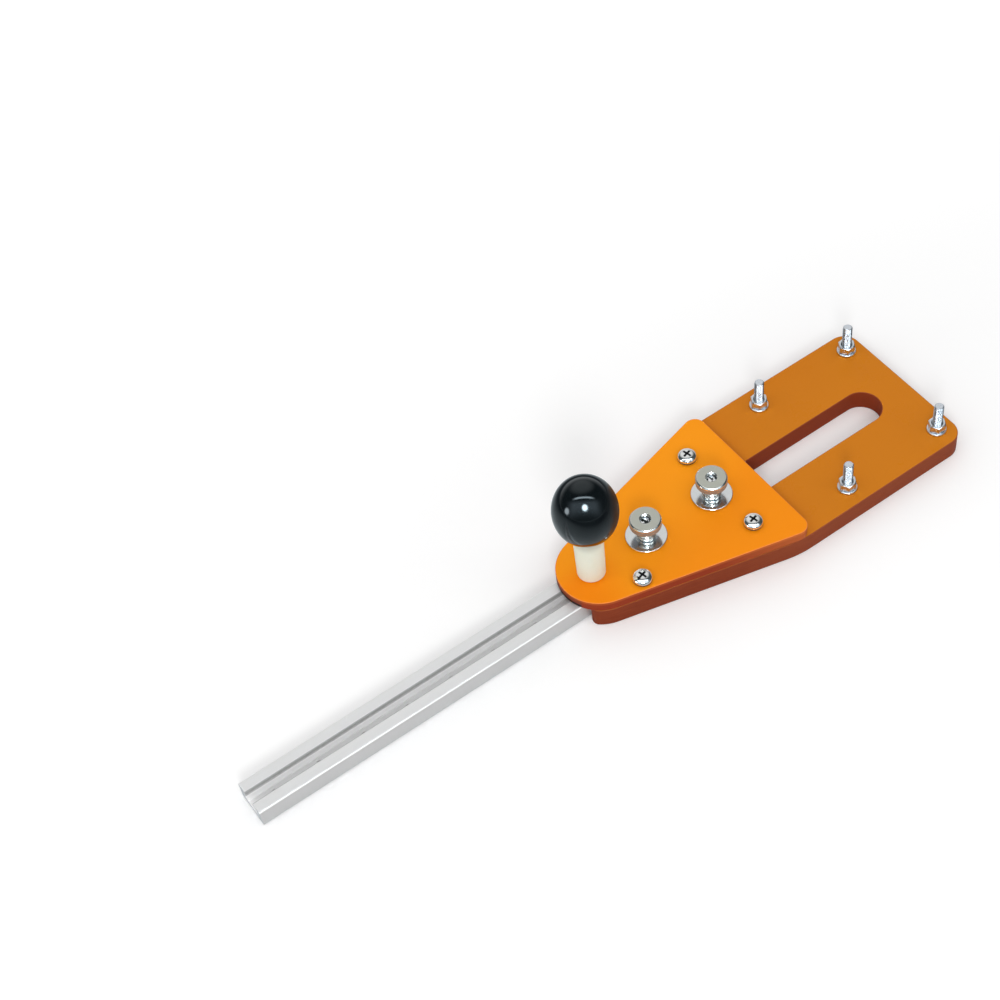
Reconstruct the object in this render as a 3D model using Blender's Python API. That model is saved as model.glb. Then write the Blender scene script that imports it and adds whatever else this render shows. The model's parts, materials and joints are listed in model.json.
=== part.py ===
"""Circle cutting jig: a forked base plate, a clamped aluminium rail and a ball handle.

The rail slides in the fork, under a cover plate, and two thumb nuts lock it by bolts whose
heads run in the rail's slot. A pivot pin drops through a hole in the rail's floor, and four
machine screws stand up through the wide end of the base plate, beside its long slot.

Sizes are in metres. X runs along the rail towards the wide end, Z is up, the underside of
the base plate lies on z = 0 and the origin is under the middle of the whole jig. A station
is a distance along X from the tip of the nose, and a setback is one back from an end.
"""

import math

import bmesh
import bpy
from mathutils import Matrix, Vector

# Clearances and overruns that all the pieces share
SEAT_GAP = 0.0003
CUT_OVERRUN = 0.002
MERGE_DISTANCE = 0.000001

# Base plate, a laminate sheet cut to a fork; its tail is what the cover leaves bare
TAIL_LENGTH = 0.1005
PLATE_WIDTH = 0.091
NOSE_RADIUS = 0.022
SHOULDER_RADIUS = 0.060
FAR_CORNER_RADIUS = 0.009
FORK_TIP_RADIUS = 0.0037
PLATE_EDGE_BREAK = 0.0004
BIT_SETBACK = 0.0335
BIT_CLEARANCE = 0.015

# Cover plate
COVER_LENGTH = 0.1175
COVER_THICKNESS = 0.0062
COVER_CORNER_RADIUS = 0.0058
HOLE_CLEARANCE = 0.0006

# Rail, an aluminium extrusion with a slot for hexagon heads and a row of pivot holes
RAIL_REACH = 0.180
RAIL_INSIDE = 0.120
RAIL_WALL = 0.0041
RAIL_LIP = 0.0020
RAIL_FLOOR = 0.0044
RAIL_CHANNEL_DEPTH = 0.0008
RAIL_EDGE_BREAK = 0.0009
RAIL_LIP_BREAK = 0.0006
RAIL_CLEARANCE = 0.0005
PIVOT_HOLE_PITCH = 0.025

# Pivot pin
PIN_DIAMETER = 0.0030
PIN_SHANK_LENGTH = 0.0091
PIN_HEAD_CLEARANCE = 0.0011
PIN_HEAD_THICKNESS = 0.0014
PIN_STROKE = 0.0050
PIN_POINT_LENGTH = 0.0018
PIN_POINT_DIAMETER = 0.0006
PIN_EDGE_BREAK = 0.0003

# Clamp bolts, whose heads and shanks give the rail its cavity and its throat
CLAMP_STATION = 0.0503
CLAMP_SETBACK = 0.0264
CLAMP_BOLT_DIAMETER = 0.0060
CLAMP_HEAD_ACROSS_FLATS = 0.0100
CLAMP_HEAD_THICKNESS = 0.0040
CLAMP_HEAD_SIDE_CLEARANCE = 0.0009
CLAMP_HEAD_UNDER_CLEARANCE = 0.0008
CLAMP_BOLT_THROAT_CLEARANCE = 0.0009
CLAMP_BOLT_RECESS = 0.0020

# Washers under the thumb nuts
WASHER_DIAMETER = 0.0210
WASHER_THICKNESS = 0.0015
WASHER_EDGE_BREAK = 0.0003

# Knurled thumb nuts
NUT_HEIGHT = 0.0128
NUT_RIM_DIAMETER = 0.0160
NUT_RIM_THICKNESS = 0.0047
NUT_TOP_CHAMFER = 0.0008
NUT_CONE_HEIGHT = 0.0022
NUT_NECK_WALL = 0.0009
NUT_FOOT_FLANGE = 0.0008
NUT_FOOT_THICKNESS = 0.0022
NUT_EDGE_BREAK = 0.0004
KNURL_TEETH = 40
KNURL_DEPTH = 0.0003

# Pan head screws that hold the cover plate, two near the nose and two near the wide edge
NOSE_SCREW_STATION = 0.0336
NOSE_SCREW_OFFSET = 0.0190
WIDE_SCREW_SETBACK = 0.0213
WIDE_SCREW_OFFSET = 0.0263
COVER_SCREW_DIAMETER = 0.0050
COVER_SCREW_TIP_HEIGHT = 0.0015
PAN_HEAD_DIAMETER = 0.0100
PAN_HEAD_HEIGHT = 0.0037
PAN_HEAD_RIM = 0.0012
PAN_CROWN_SHARE = 0.5

# Cross recess of the screws
CROSS_SPAN = 0.0050
CROSS_ARM = 0.0012
CROSS_DEPTH = 0.0022
CROSS_FLOOR_SHARE = 0.55

# Handle, a nylon stem between the cover plate and a ball knob
HANDLE_STATION = 0.0168
STEM_LENGTH = 0.0312
STEM_FOOT_DIAMETER = 0.0142
STEM_TOP_DIAMETER = 0.0149
STEM_EDGE_BREAK = 0.0005
BALL_DIAMETER = 0.0320
BALL_LENGTH = 0.0370
BALL_SEAT_DIAMETER = 0.0140
INSERT_WALL = 0.0014
INSERT_LENGTH = 0.0150
INSERT_EDGE_BREAK = 0.0005
HANDLE_BOLT_DIAMETER = 0.0060
HANDLE_BOLT_ENGAGEMENT = 0.0120
HANDLE_BOLT_HEAD_DIAMETER = 0.0115
HANDLE_SOCKET_ACROSS_FLATS = 0.0040
HANDLE_SOCKET_DEPTH = 0.0020

# Countersunk machine screws, with their washers and nuts
MACHINE_HOLE_SPACING = 0.0590
MACHINE_HOLE_SETBACK = 0.0095
MACHINE_HOLE_INSET = 0.0110
MACHINE_SCREW_DIAMETER = 0.0050
MACHINE_SCREW_LENGTH = 0.0302
MACHINE_SCREW_HEAD_DIAMETER = 0.0098
MACHINE_WASHER_DIAMETER = 0.0100
MACHINE_WASHER_THICKNESS = 0.0010
MACHINE_NUT_ACROSS_FLATS = 0.0080
MACHINE_NUT_THICKNESS = 0.0040

# Chamfers of screw ends, countersunk heads, hexagons and small bores
TIP_CHAMFER = 0.0006
COUNTERSINK_LIP = 0.0003
HEXAGON_CHAMFER = 0.0003
BORE_CHAMFER = 0.0003

# Faces round a full turn, and the greatest angle between two faces of an outline's arc
TURN_STEPS = 18
WIDE_TURN_STEPS = 32
BALL_ROWS = 14
CROWN_ROWS = 5
ARC_STEP = math.radians(9)

# Sizes that follow from the ones above
BASE_LENGTH = COVER_LENGTH + TAIL_LENGTH
RAIL_LENGTH = RAIL_REACH + RAIL_INSIDE
RAIL_THROAT = CLAMP_BOLT_DIAMETER + CLAMP_BOLT_THROAT_CLEARANCE
RAIL_CAVITY = CLAMP_HEAD_ACROSS_FLATS + 2 * CLAMP_HEAD_SIDE_CLEARANCE
RAIL_WIDTH = RAIL_CAVITY + 2 * RAIL_WALL
CLAMP_HEAD_FOOT = RAIL_FLOOR + CLAMP_HEAD_UNDER_CLEARANCE
RAIL_HEIGHT = CLAMP_HEAD_FOOT + CLAMP_HEAD_THICKNESS + SEAT_GAP + RAIL_LIP
BASE_THICKNESS = RAIL_HEIGHT + RAIL_CLEARANCE
PIN_HEAD_DIAMETER = RAIL_THROAT - PIN_HEAD_CLEARANCE
RAIL_CHANNEL_WIDTH = PIN_HEAD_DIAMETER + HOLE_CLEARANCE
CLAMP_BORE = CLAMP_BOLT_DIAMETER + HOLE_CLEARANCE
NUT_NECK_DIAMETER = CLAMP_BORE + 2 * NUT_NECK_WALL
NUT_FOOT_DIAMETER = NUT_NECK_DIAMETER + 2 * NUT_FOOT_FLANGE
HANDLE_BORE = HANDLE_BOLT_DIAMETER + HOLE_CLEARANCE
INSERT_DIAMETER = HANDLE_BORE + 2 * INSERT_WALL
MACHINE_BORE = MACHINE_SCREW_DIAMETER + HOLE_CLEARANCE

# Places that follow from the sizes above
NOSE_X = (RAIL_REACH - BASE_LENGTH) / 2
RAIL_END_X = NOSE_X - RAIL_REACH
COVER_END_X = NOSE_X + COVER_LENGTH
BASE_END_X = NOSE_X + BASE_LENGTH
SLOT_END_X = BASE_END_X - BIT_SETBACK + BIT_CLEARANCE
COVER_UNDERSIDE = BASE_THICKNESS + SEAT_GAP
COVER_TOP = COVER_UNDERSIDE + COVER_THICKNESS
RAIL_TOP = COVER_UNDERSIDE - SEAT_GAP
RAIL_UNDERSIDE = RAIL_TOP - RAIL_HEIGHT
SLOT_HALF_WIDTH = RAIL_WIDTH / 2 + SEAT_GAP
COVER_SEAT = COVER_TOP + SEAT_GAP
THUMB_NUT_SEAT = COVER_SEAT + WASHER_THICKNESS + SEAT_GAP
BALL_SEAT = COVER_SEAT + STEM_LENGTH + SEAT_GAP
MACHINE_WASHER_SEAT = BASE_THICKNESS + SEAT_GAP
MACHINE_NUT_SEAT = MACHINE_WASHER_SEAT + MACHINE_WASHER_THICKNESS + SEAT_GAP

# Finishes, as colour, roughness and metallic value
FINISHES = {
    "base_laminate": ((0.58, 0.19, 0.03), 0.35, 0.0),
    "cover_laminate": ((0.90, 0.27, 0.02), 0.40, 0.0),
    "rail_aluminium": ((0.80, 0.81, 0.82), 0.30, 1.0),
    "bright_steel": ((0.78, 0.78, 0.76), 0.16, 1.0),
    "zinc_steel": ((0.70, 0.74, 0.80), 0.28, 1.0),
    "stem_nylon": ((0.78, 0.74, 0.60), 0.45, 0.0),
    "ball_resin": ((0.012, 0.012, 0.013), 0.08, 0.0),
    "insert_brass": ((0.80, 0.56, 0.22), 0.25, 1.0),
}


def clear_scene():
    """Take every object out of the open scene."""
    for item in list(bpy.data.objects):
        bpy.data.objects.remove(item, do_unlink=True)


def finish(name):
    """The material of a finish, made once."""
    material = bpy.data.materials.get(name)
    if material is None:
        color, roughness, metallic = FINISHES[name]
        material = bpy.data.materials.new(name)
        material.use_nodes = True
        shader = material.node_tree.nodes["Principled BSDF"]
        shader.inputs["Base Color"].default_value = (*color, 1)
        shader.inputs["Roughness"].default_value = roughness
        shader.inputs["Metallic"].default_value = metallic
    return material


def place(name, bm, finish_name, location, parent=None):
    """Turn a bmesh into a named object at a location, in its parent's frame if it has one."""
    mesh = bpy.data.meshes.new(name)
    bm.to_mesh(mesh)
    bm.free()
    if finish_name:
        mesh.materials.append(finish(finish_name))
    mesh.shade_smooth()
    mesh.set_sharp_from_angle(angle=math.radians(30))
    item = bpy.data.objects.new(name, mesh)
    bpy.context.scene.collection.objects.link(item)
    item.location = location
    item.parent = parent
    return item


def cut(item, bm, name):
    """Cut a shape, modelled about the item's own origin, out of the item."""
    cutter = place(name, bm, None, (0, 0, 0), item)
    cutter.hide_render = True
    cutter.display_type = "WIRE"
    boolean = item.modifiers.new(name, "BOOLEAN")
    boolean.operation = "DIFFERENCE"
    boolean.object = cutter


# Outlines and sheets


def arc(centre, radius, start, end):
    """Points of an arc about a centre, both ends included."""
    steps = max(1, math.ceil(abs(end - start) / ARC_STEP))
    angles = [start + (end - start) * step / steps for step in range(steps + 1)]
    return [(centre[0] + radius * math.cos(a), centre[1] + radius * math.sin(a)) for a in angles]


def mirrored(half):
    """A closed outline from its half above the X axis, which ends on that axis."""
    return half + [(x, -y) for x, y in reversed(half[:-1])]


def extruded(points, direction):
    """A prism with a flat outline, given as 3-D points, along a direction."""
    bm = bmesh.new()
    face = bm.faces.new([bm.verts.new(point) for point in points])
    grown = bmesh.ops.extrude_face_region(bm, geom=[face])
    far_side = [v for v in grown["geom"] if isinstance(v, bmesh.types.BMVert)]
    bmesh.ops.translate(bm, verts=far_side, vec=direction)
    bmesh.ops.recalc_face_normals(bm, faces=bm.faces)
    return bm


def sheet(outline, thickness):
    """A flat sheet with its top and bottom edges broken."""
    bm = extruded([(x, y, 0) for x, y in outline], (0, 0, thickness))
    rims = [edge for edge in bm.edges if edge.calc_face_angle(0) > math.radians(60)]
    bmesh.ops.bevel(bm, geom=rims, offset=PLATE_EDGE_BREAK, segments=1, profile=0.5,
                    affect="EDGES", material=-1)
    return bm


# Turned pieces


def turned(profile, steps=TURN_STEPS):
    """A solid turned about Z from (radius, height) points; off the axis it closes to a ring."""
    bm = bmesh.new()
    points = [bm.verts.new((radius, 0, height)) for radius, height in profile]
    edges = [bm.edges.new(pair) for pair in zip(points, points[1:])]
    if profile[0][0] > 0:
        edges.append(bm.edges.new((points[-1], points[0])))
    bmesh.ops.spin(bm, geom=points + edges, axis=(0, 0, 1), cent=(0, 0, 0),
                   angle=math.tau, steps=steps, use_merge=True)
    bmesh.ops.remove_doubles(bm, verts=bm.verts, dist=MERGE_DISTANCE)
    bmesh.ops.recalc_face_normals(bm, faces=bm.faces)
    return bm


def ring_profile(inner, outer, thickness, edge_break):
    """Profile of a plain ring with its outer edges broken."""
    return [(inner, 0), (outer - edge_break, 0), (outer, edge_break),
            (outer, thickness - edge_break), (outer - edge_break, thickness),
            (inner, thickness)]


def countersunk_profile(shank, head, length):
    """Profile of a countersunk screw that stands on its head."""
    return [(0, 0), (head, 0), (head, COUNTERSINK_LIP), (shank, COUNTERSINK_LIP + head - shank),
            (shank, length - TIP_CHAMFER), (shank - TIP_CHAMFER, length), (0, length)]


def mill_hexagon(bm, across_flats):
    """Draw everything outside a hexagon in to its flats, two of which face along Y."""
    sixth = math.tau / 6
    for vert in bm.verts:
        angle = math.atan2(vert.co.y, vert.co.x) % sixth - sixth / 2
        limit = across_flats / 2 / math.cos(angle)
        radius = vert.co.xy.length
        if radius > limit:
            vert.co.xy *= limit / radius
    return bm


def corner_radius(across_flats):
    """Radius over the corners of a hexagon."""
    return across_flats / 2 / math.cos(math.tau / 12)


# Cutters


def combined(pieces):
    """One bmesh that holds (bmesh, offset) pieces which don't touch."""
    whole = bmesh.new()
    passing = bpy.data.meshes.new("passing")
    for piece, offset in pieces:
        bmesh.ops.translate(piece, verts=piece.verts, vec=offset)
        piece.to_mesh(passing)
        piece.free()
        whole.from_mesh(passing)
    bpy.data.meshes.remove(passing)
    return whole


def drill(diameter, depth):
    """A drill up from z = 0 that overruns both faces of the stock."""
    return turned([(0, -CUT_OVERRUN), (diameter / 2, -CUT_OVERRUN),
                   (diameter / 2, depth + CUT_OVERRUN), (0, depth + CUT_OVERRUN)])


def countersink_drill(diameter, head_diameter, depth):
    """A drill for a screw whose countersunk head lies in the lower face, z = 0."""
    shank = (diameter + HOLE_CLEARANCE) / 2
    head = (head_diameter + HOLE_CLEARANCE) / 2 + COUNTERSINK_LIP
    return turned([(0, -CUT_OVERRUN), (head, -CUT_OVERRUN), (head, COUNTERSINK_LIP),
                   (shank, COUNTERSINK_LIP + head - shank),
                   (shank, depth + CUT_OVERRUN), (0, depth + CUT_OVERRUN)])


def tapered_recess(outline, depth, floor_share):
    """A recess sunk below z = 0, whose outline there narrows to a share at its floor."""
    mouth_scale = 1 + (1 - floor_share) * CUT_OVERRUN / depth
    points = [Vector((x, y, 0)) * floor_share - Vector((0, 0, depth)) for x, y in outline]
    bm = extruded(points, (0, 0, depth + CUT_OVERRUN))
    mouth = [vert for vert in bm.verts if vert.co.z > 0]
    widening = mouth_scale / floor_share
    bmesh.ops.scale(bm, verts=mouth, vec=(widening, widening, 1))
    return bm


def cross_recess():
    """The cross of a screw head."""
    span, arm = CROSS_SPAN / 2, CROSS_ARM / 2
    quarter = [(span, -arm), (span, arm), (arm, arm)]
    outline = []
    for turn in range(4):
        spin = Matrix.Rotation(turn * math.tau / 4, 2)
        outline += [spin @ Vector(point) for point in quarter]
    return tapered_recess(outline, CROSS_DEPTH, CROSS_FLOOR_SHARE)


def hexagon_recess(across_flats, depth):
    """A hexagon socket sunk below z = 0."""
    radius = corner_radius(across_flats)
    outline = [(radius * math.cos(math.tau * side / 6), radius * math.sin(math.tau * side / 6))
               for side in range(6)]
    return tapered_recess(outline, depth, 1)


def flipped(bm):
    """Turn a shape upside down about the X axis."""
    bmesh.ops.rotate(bm, verts=bm.verts, cent=(0, 0, 0), matrix=Matrix.Rotation(math.pi, 3, "X"))
    return bm


# Places of the fasteners, as (x, y)


def clamp_places():
    """Middles of the two clamp bolts."""
    return [(NOSE_X + CLAMP_STATION, 0), (COVER_END_X - CLAMP_SETBACK, 0)]


def cover_screw_places():
    """Middles of the four cover screws."""
    rows = [(NOSE_X + NOSE_SCREW_STATION, NOSE_SCREW_OFFSET),
            (COVER_END_X - WIDE_SCREW_SETBACK, WIDE_SCREW_OFFSET)]
    return [(x, side * offset) for x, offset in rows for side in (1, -1)]


def machine_screw_places():
    """Middles of the four machine screws."""
    last_x = BASE_END_X - MACHINE_HOLE_SETBACK
    offset = PLATE_WIDTH / 2 - MACHINE_HOLE_INSET
    return [(x, side * offset) for x in (last_x - MACHINE_HOLE_SPACING, last_x)
            for side in (1, -1)]


# Base plate and cover plate


def taper_angle():
    """Angle of the tapered sides, tangent to the nose and to the cover's corners."""
    run = COVER_LENGTH - COVER_CORNER_RADIUS - NOSE_RADIUS
    rise = PLATE_WIDTH / 2 - COVER_CORNER_RADIUS
    narrowing = (NOSE_RADIUS - COVER_CORNER_RADIUS) / math.hypot(run, rise)
    return math.atan2(rise, run) - math.asin(narrowing)


def base_outline():
    """The fork: far corners, shoulders, tapered sides, nose, rounded tips and the slot."""
    taper = taper_angle()
    square = math.pi / 2
    half_width = PLATE_WIDTH / 2
    nose_x = NOSE_X + NOSE_RADIUS
    far_corner = (BASE_END_X - FAR_CORNER_RADIUS, half_width - FAR_CORNER_RADIUS)
    shoulder_y = half_width - SHOULDER_RADIUS
    shoulder_run = (shoulder_y * math.cos(taper) + SHOULDER_RADIUS - NOSE_RADIUS) / math.sin(taper)
    tip_y = SLOT_HALF_WIDTH + FORK_TIP_RADIUS
    tip_run = math.sqrt((NOSE_RADIUS - FORK_TIP_RADIUS) ** 2 - tip_y ** 2)
    tip_angle = math.atan2(tip_y, -tip_run)
    return mirrored(
        arc(far_corner, FAR_CORNER_RADIUS, 0, square)
        + arc((nose_x + shoulder_run, shoulder_y), SHOULDER_RADIUS, square, square + taper)
        + arc((nose_x, 0), NOSE_RADIUS, square + taper, tip_angle)
        + arc((nose_x - tip_run, tip_y), FORK_TIP_RADIUS, tip_angle, 3 * square)[1:]
        + arc((SLOT_END_X - SLOT_HALF_WIDTH, 0), SLOT_HALF_WIDTH, square, 0))


def make_base_plate():
    """The forked base plate, drilled for both sets of screws and countersunk for one."""
    item = place("base_plate", sheet(base_outline(), BASE_THICKNESS), "base_laminate", (0, 0, 0))
    holes = [(drill(COVER_SCREW_DIAMETER + HOLE_CLEARANCE, BASE_THICKNESS), (x, y, 0))
             for x, y in cover_screw_places()]
    holes += [(countersink_drill(MACHINE_SCREW_DIAMETER, MACHINE_SCREW_HEAD_DIAMETER,
                                 BASE_THICKNESS), (x, y, 0)) for x, y in machine_screw_places()]
    cut(item, combined(holes), "base_drills")


def cover_outline():
    """The tapered cover: wide edge, rounded corners, tangent sides and nose."""
    taper = taper_angle()
    square = math.pi / 2
    corner = (COVER_END_X - COVER_CORNER_RADIUS, PLATE_WIDTH / 2 - COVER_CORNER_RADIUS)
    return mirrored(arc(corner, COVER_CORNER_RADIUS, 0, square + taper)
                    + arc((NOSE_X + NOSE_RADIUS, 0), NOSE_RADIUS, square + taper, math.pi))


def make_cover_plate():
    """The cover plate, which keeps the rail in the fork."""
    item = place("cover_plate", sheet(cover_outline(), COVER_THICKNESS), "cover_laminate",
                 (0, 0, COVER_UNDERSIDE))
    holes = [(drill(CLAMP_BORE, COVER_THICKNESS), (x, y, 0)) for x, y in clamp_places()]
    holes += [(drill(COVER_SCREW_DIAMETER + HOLE_CLEARANCE, COVER_THICKNESS), (x, y, 0))
              for x, y in cover_screw_places()]
    holes.append((countersink_drill(HANDLE_BOLT_DIAMETER, HANDLE_BOLT_HEAD_DIAMETER,
                                    COVER_THICKNESS), (NOSE_X + HANDLE_STATION, 0, 0)))
    cut(item, combined(holes), "cover_drills")


# Rail and pivot pin


def rail_outline():
    """Section of the rail as (y, z): broken edges, two lips, a cavity and a floor channel."""
    side, top, edge = RAIL_WIDTH / 2, RAIL_HEIGHT, RAIL_EDGE_BREAK
    throat, cavity, channel = RAIL_THROAT / 2, RAIL_CAVITY / 2, RAIL_CHANNEL_WIDTH / 2
    half = [(side - edge, 0), (side, edge), (side, top - edge), (side - edge, top),
            (throat + RAIL_LIP_BREAK, top), (throat, top - RAIL_LIP_BREAK),
            (throat, top - RAIL_LIP), (cavity, top - RAIL_LIP), (cavity, RAIL_FLOOR),
            (channel, RAIL_FLOOR), (channel, RAIL_FLOOR - RAIL_CHANNEL_DEPTH)]
    return half + [(-y, z) for y, z in reversed(half)]


def make_rail():
    """The slotted rail with its pivot holes, which carries the pivot pin."""
    bm = extruded([(0, y, z) for y, z in rail_outline()], (RAIL_LENGTH, 0, 0))
    item = place("rail", bm, "rail_aluminium", (RAIL_END_X, 0, RAIL_UNDERSIDE))
    hole = PIN_DIAMETER + HOLE_CLEARANCE
    # the last hole's middle stays a quarter of the pitch or more from the rail's end
    count = int(RAIL_LENGTH / PIVOT_HOLE_PITCH + 1 / 4)
    holes = [(drill(hole, RAIL_FLOOR), ((number + 1 / 2) * PIVOT_HOLE_PITCH, 0, 0))
             for number in range(count)]
    cut(item, combined(holes), "pivot_drills")
    make_pivot_pin(item)


def make_pivot_pin(rail):
    """The pivot pin, drawn up by its stroke; its head drops into the floor channel."""
    shank, head, point = PIN_DIAMETER / 2, PIN_HEAD_DIAMETER / 2, PIN_POINT_DIAMETER / 2
    top = PIN_SHANK_LENGTH + PIN_HEAD_THICKNESS
    profile = [(0, 0), (point, 0), (shank, PIN_POINT_LENGTH), (shank, PIN_SHANK_LENGTH),
               (head, PIN_SHANK_LENGTH), (head, top - PIN_EDGE_BREAK),
               (head - PIN_EDGE_BREAK, top), (0, top)]
    head_seat = RAIL_FLOOR - RAIL_CHANNEL_DEPTH + SEAT_GAP + PIN_STROKE
    hole_in_use = int(RAIL_REACH / PIVOT_HOLE_PITCH)
    place("pivot_pin", turned(profile), "bright_steel",
          ((hole_in_use + 1 / 2) * PIVOT_HOLE_PITCH, 0, head_seat - PIN_SHANK_LENGTH), rail)


# Clamps


def make_clamp_bolt(number, x, y):
    """A hexagon bolt whose head hangs under the rail's lips."""
    foot = RAIL_UNDERSIDE + CLAMP_HEAD_FOOT
    length = THUMB_NUT_SEAT + NUT_HEIGHT - CLAMP_BOLT_RECESS - foot
    shank, head = CLAMP_BOLT_DIAMETER / 2, corner_radius(CLAMP_HEAD_ACROSS_FLATS)
    flat = CLAMP_HEAD_ACROSS_FLATS / 2
    profile = [(0, 0), (flat - HEXAGON_CHAMFER, 0), (head, HEXAGON_CHAMFER),
               (head, CLAMP_HEAD_THICKNESS), (shank, CLAMP_HEAD_THICKNESS),
               (shank, length - TIP_CHAMFER), (shank - TIP_CHAMFER, length), (0, length)]
    place(f"clamp_bolt_{number}", mill_hexagon(turned(profile), CLAMP_HEAD_ACROSS_FLATS),
          "zinc_steel", (x, y, foot))


def thumb_nut_profile():
    """Section of a thumb nut: foot collar, neck, cone, knurled rim and a bore."""
    bore, rim = CLAMP_BORE / 2, NUT_RIM_DIAMETER / 2
    foot, neck = NUT_FOOT_DIAMETER / 2, NUT_NECK_DIAMETER / 2
    rim_base = NUT_HEIGHT - NUT_RIM_THICKNESS
    shoulder = rim - KNURL_DEPTH - NUT_EDGE_BREAK
    return [(bore, 0), (foot - NUT_EDGE_BREAK, 0), (foot, NUT_EDGE_BREAK),
            (foot, NUT_FOOT_THICKNESS - NUT_EDGE_BREAK),
            (foot - NUT_EDGE_BREAK, NUT_FOOT_THICKNESS), (neck, NUT_FOOT_THICKNESS),
            (neck, rim_base - NUT_CONE_HEIGHT), (shoulder, rim_base),
            (rim, rim_base + NUT_EDGE_BREAK), (rim, NUT_HEIGHT - NUT_TOP_CHAMFER),
            (rim - NUT_TOP_CHAMFER, NUT_HEIGHT), (bore + BORE_CHAMFER, NUT_HEIGHT),
            (bore, NUT_HEIGHT - BORE_CHAMFER)]


def knurl(bm):
    """Press straight teeth into the rim, one for every second line of points."""
    rim = NUT_RIM_DIAMETER / 2
    spacing = math.tau / (2 * KNURL_TEETH)
    for vert in bm.verts:
        radius = vert.co.xy.length
        line = round(math.atan2(vert.co.y, vert.co.x) / spacing)
        if radius > rim - MERGE_DISTANCE and line % 2:
            vert.co.xy *= (rim - KNURL_DEPTH) / radius
    return bm


def make_clamp_top(number, x, y):
    """A washer on the cover plate, and the thumb nut that it carries."""
    profile = ring_profile(CLAMP_BORE / 2, WASHER_DIAMETER / 2, WASHER_THICKNESS,
                           WASHER_EDGE_BREAK)
    washer = place(f"clamp_washer_{number}", turned(profile, WIDE_TURN_STEPS), "bright_steel",
                   (x, y, COVER_SEAT))
    place(f"thumb_nut_{number}", knurl(turned(thumb_nut_profile(), 2 * KNURL_TEETH)),
          "bright_steel", (0, 0, THUMB_NUT_SEAT - COVER_SEAT), washer)


# Cover screws


def make_cover_screw(number, x, y):
    """A pan head screw that stands in the cover plate and ends inside the base plate."""
    shank, head = COVER_SCREW_DIAMETER / 2, PAN_HEAD_DIAMETER / 2
    tip = COVER_SCREW_TIP_HEIGHT - COVER_SEAT
    crown = []
    for row in range(CROWN_ROWS + 1):
        angle = math.pi / 2 * row / CROWN_ROWS
        crown.append((head * (1 - PAN_CROWN_SHARE * (1 - math.cos(angle))),
                      PAN_HEAD_RIM + (PAN_HEAD_HEIGHT - PAN_HEAD_RIM) * math.sin(angle)))
    profile = [(0, tip), (shank - TIP_CHAMFER, tip), (shank, tip + TIP_CHAMFER), (shank, 0),
               (head - BORE_CHAMFER, 0), *crown, (0, PAN_HEAD_HEIGHT)]
    item = place(f"cover_screw_{number}", turned(profile), "bright_steel", (x, y, COVER_SEAT))
    cut(item, combined([(cross_recess(), (0, 0, PAN_HEAD_HEIGHT))]),
        f"cover_screw_cross_{number}")


# Handle


def make_handle_stem(x):
    """The nylon sleeve between the cover plate and the ball."""
    bore, edge = HANDLE_BORE / 2, STEM_EDGE_BREAK
    foot, top = STEM_FOOT_DIAMETER / 2, STEM_TOP_DIAMETER / 2
    profile = [(bore, 0), (foot - edge, 0), (foot, edge), (top, STEM_LENGTH - edge),
               (top - edge, STEM_LENGTH), (bore, STEM_LENGTH)]
    place("handle_stem", turned(profile, WIDE_TURN_STEPS), "stem_nylon", (x, 0, COVER_SEAT))


def make_ball_knob(x):
    """An elongated ball with a flat seat and a pocket for its insert."""
    radius, seat = BALL_DIAMETER / 2, BALL_SEAT_DIAMETER / 2
    pocket, pocket_depth = INSERT_DIAMETER / 2 + SEAT_GAP, INSERT_LENGTH + 2 * SEAT_GAP
    rise = math.sqrt(1 - (seat / radius) ** 2)
    half_length = BALL_LENGTH / (1 + rise)
    lowest = -math.asin(rise)
    angles = [lowest + (math.pi / 2 - lowest) * row / BALL_ROWS for row in range(BALL_ROWS)]
    shell = [(radius * math.cos(a), half_length * (rise + math.sin(a))) for a in angles]
    profile = [(0, pocket_depth), (pocket, pocket_depth), (pocket, 0), *shell, (0, BALL_LENGTH)]
    place("ball_knob", turned(profile, WIDE_TURN_STEPS), "ball_resin", (x, 0, BALL_SEAT))


def make_ball_insert(x):
    """The brass bush in the ball."""
    profile = ring_profile(HANDLE_BORE / 2, INSERT_DIAMETER / 2, INSERT_LENGTH,
                           INSERT_EDGE_BREAK)
    place("ball_insert", turned(profile), "insert_brass", (x, 0, BALL_SEAT + SEAT_GAP))


def make_handle_bolt(x):
    """The countersunk bolt that runs from under the cover plate up into the ball."""
    length = BALL_SEAT - COVER_UNDERSIDE + HANDLE_BOLT_ENGAGEMENT
    profile = countersunk_profile(HANDLE_BOLT_DIAMETER / 2, HANDLE_BOLT_HEAD_DIAMETER / 2,
                                  length)
    item = place("handle_bolt", turned(profile), "zinc_steel", (x, 0, COVER_UNDERSIDE))
    cut(item, flipped(hexagon_recess(HANDLE_SOCKET_ACROSS_FLATS, HANDLE_SOCKET_DEPTH)),
        "handle_bolt_socket")


# Machine screws, washers and nuts


def make_machine_screw(number, x, y):
    """A countersunk screw up through the base plate."""
    profile = countersunk_profile(MACHINE_SCREW_DIAMETER / 2, MACHINE_SCREW_HEAD_DIAMETER / 2,
                                  MACHINE_SCREW_LENGTH)
    item = place(f"machine_screw_{number}", turned(profile), "zinc_steel", (x, y, SEAT_GAP))
    cut(item, flipped(cross_recess()), f"machine_screw_cross_{number}")


def make_machine_washer(number, x, y):
    """A flat washer on the base plate."""
    bore, rim = MACHINE_BORE / 2, MACHINE_WASHER_DIAMETER / 2
    profile = [(bore, 0), (rim, 0), (rim, MACHINE_WASHER_THICKNESS),
               (bore, MACHINE_WASHER_THICKNESS)]
    place(f"machine_washer_{number}", turned(profile), "zinc_steel", (x, y, MACHINE_WASHER_SEAT))


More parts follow.
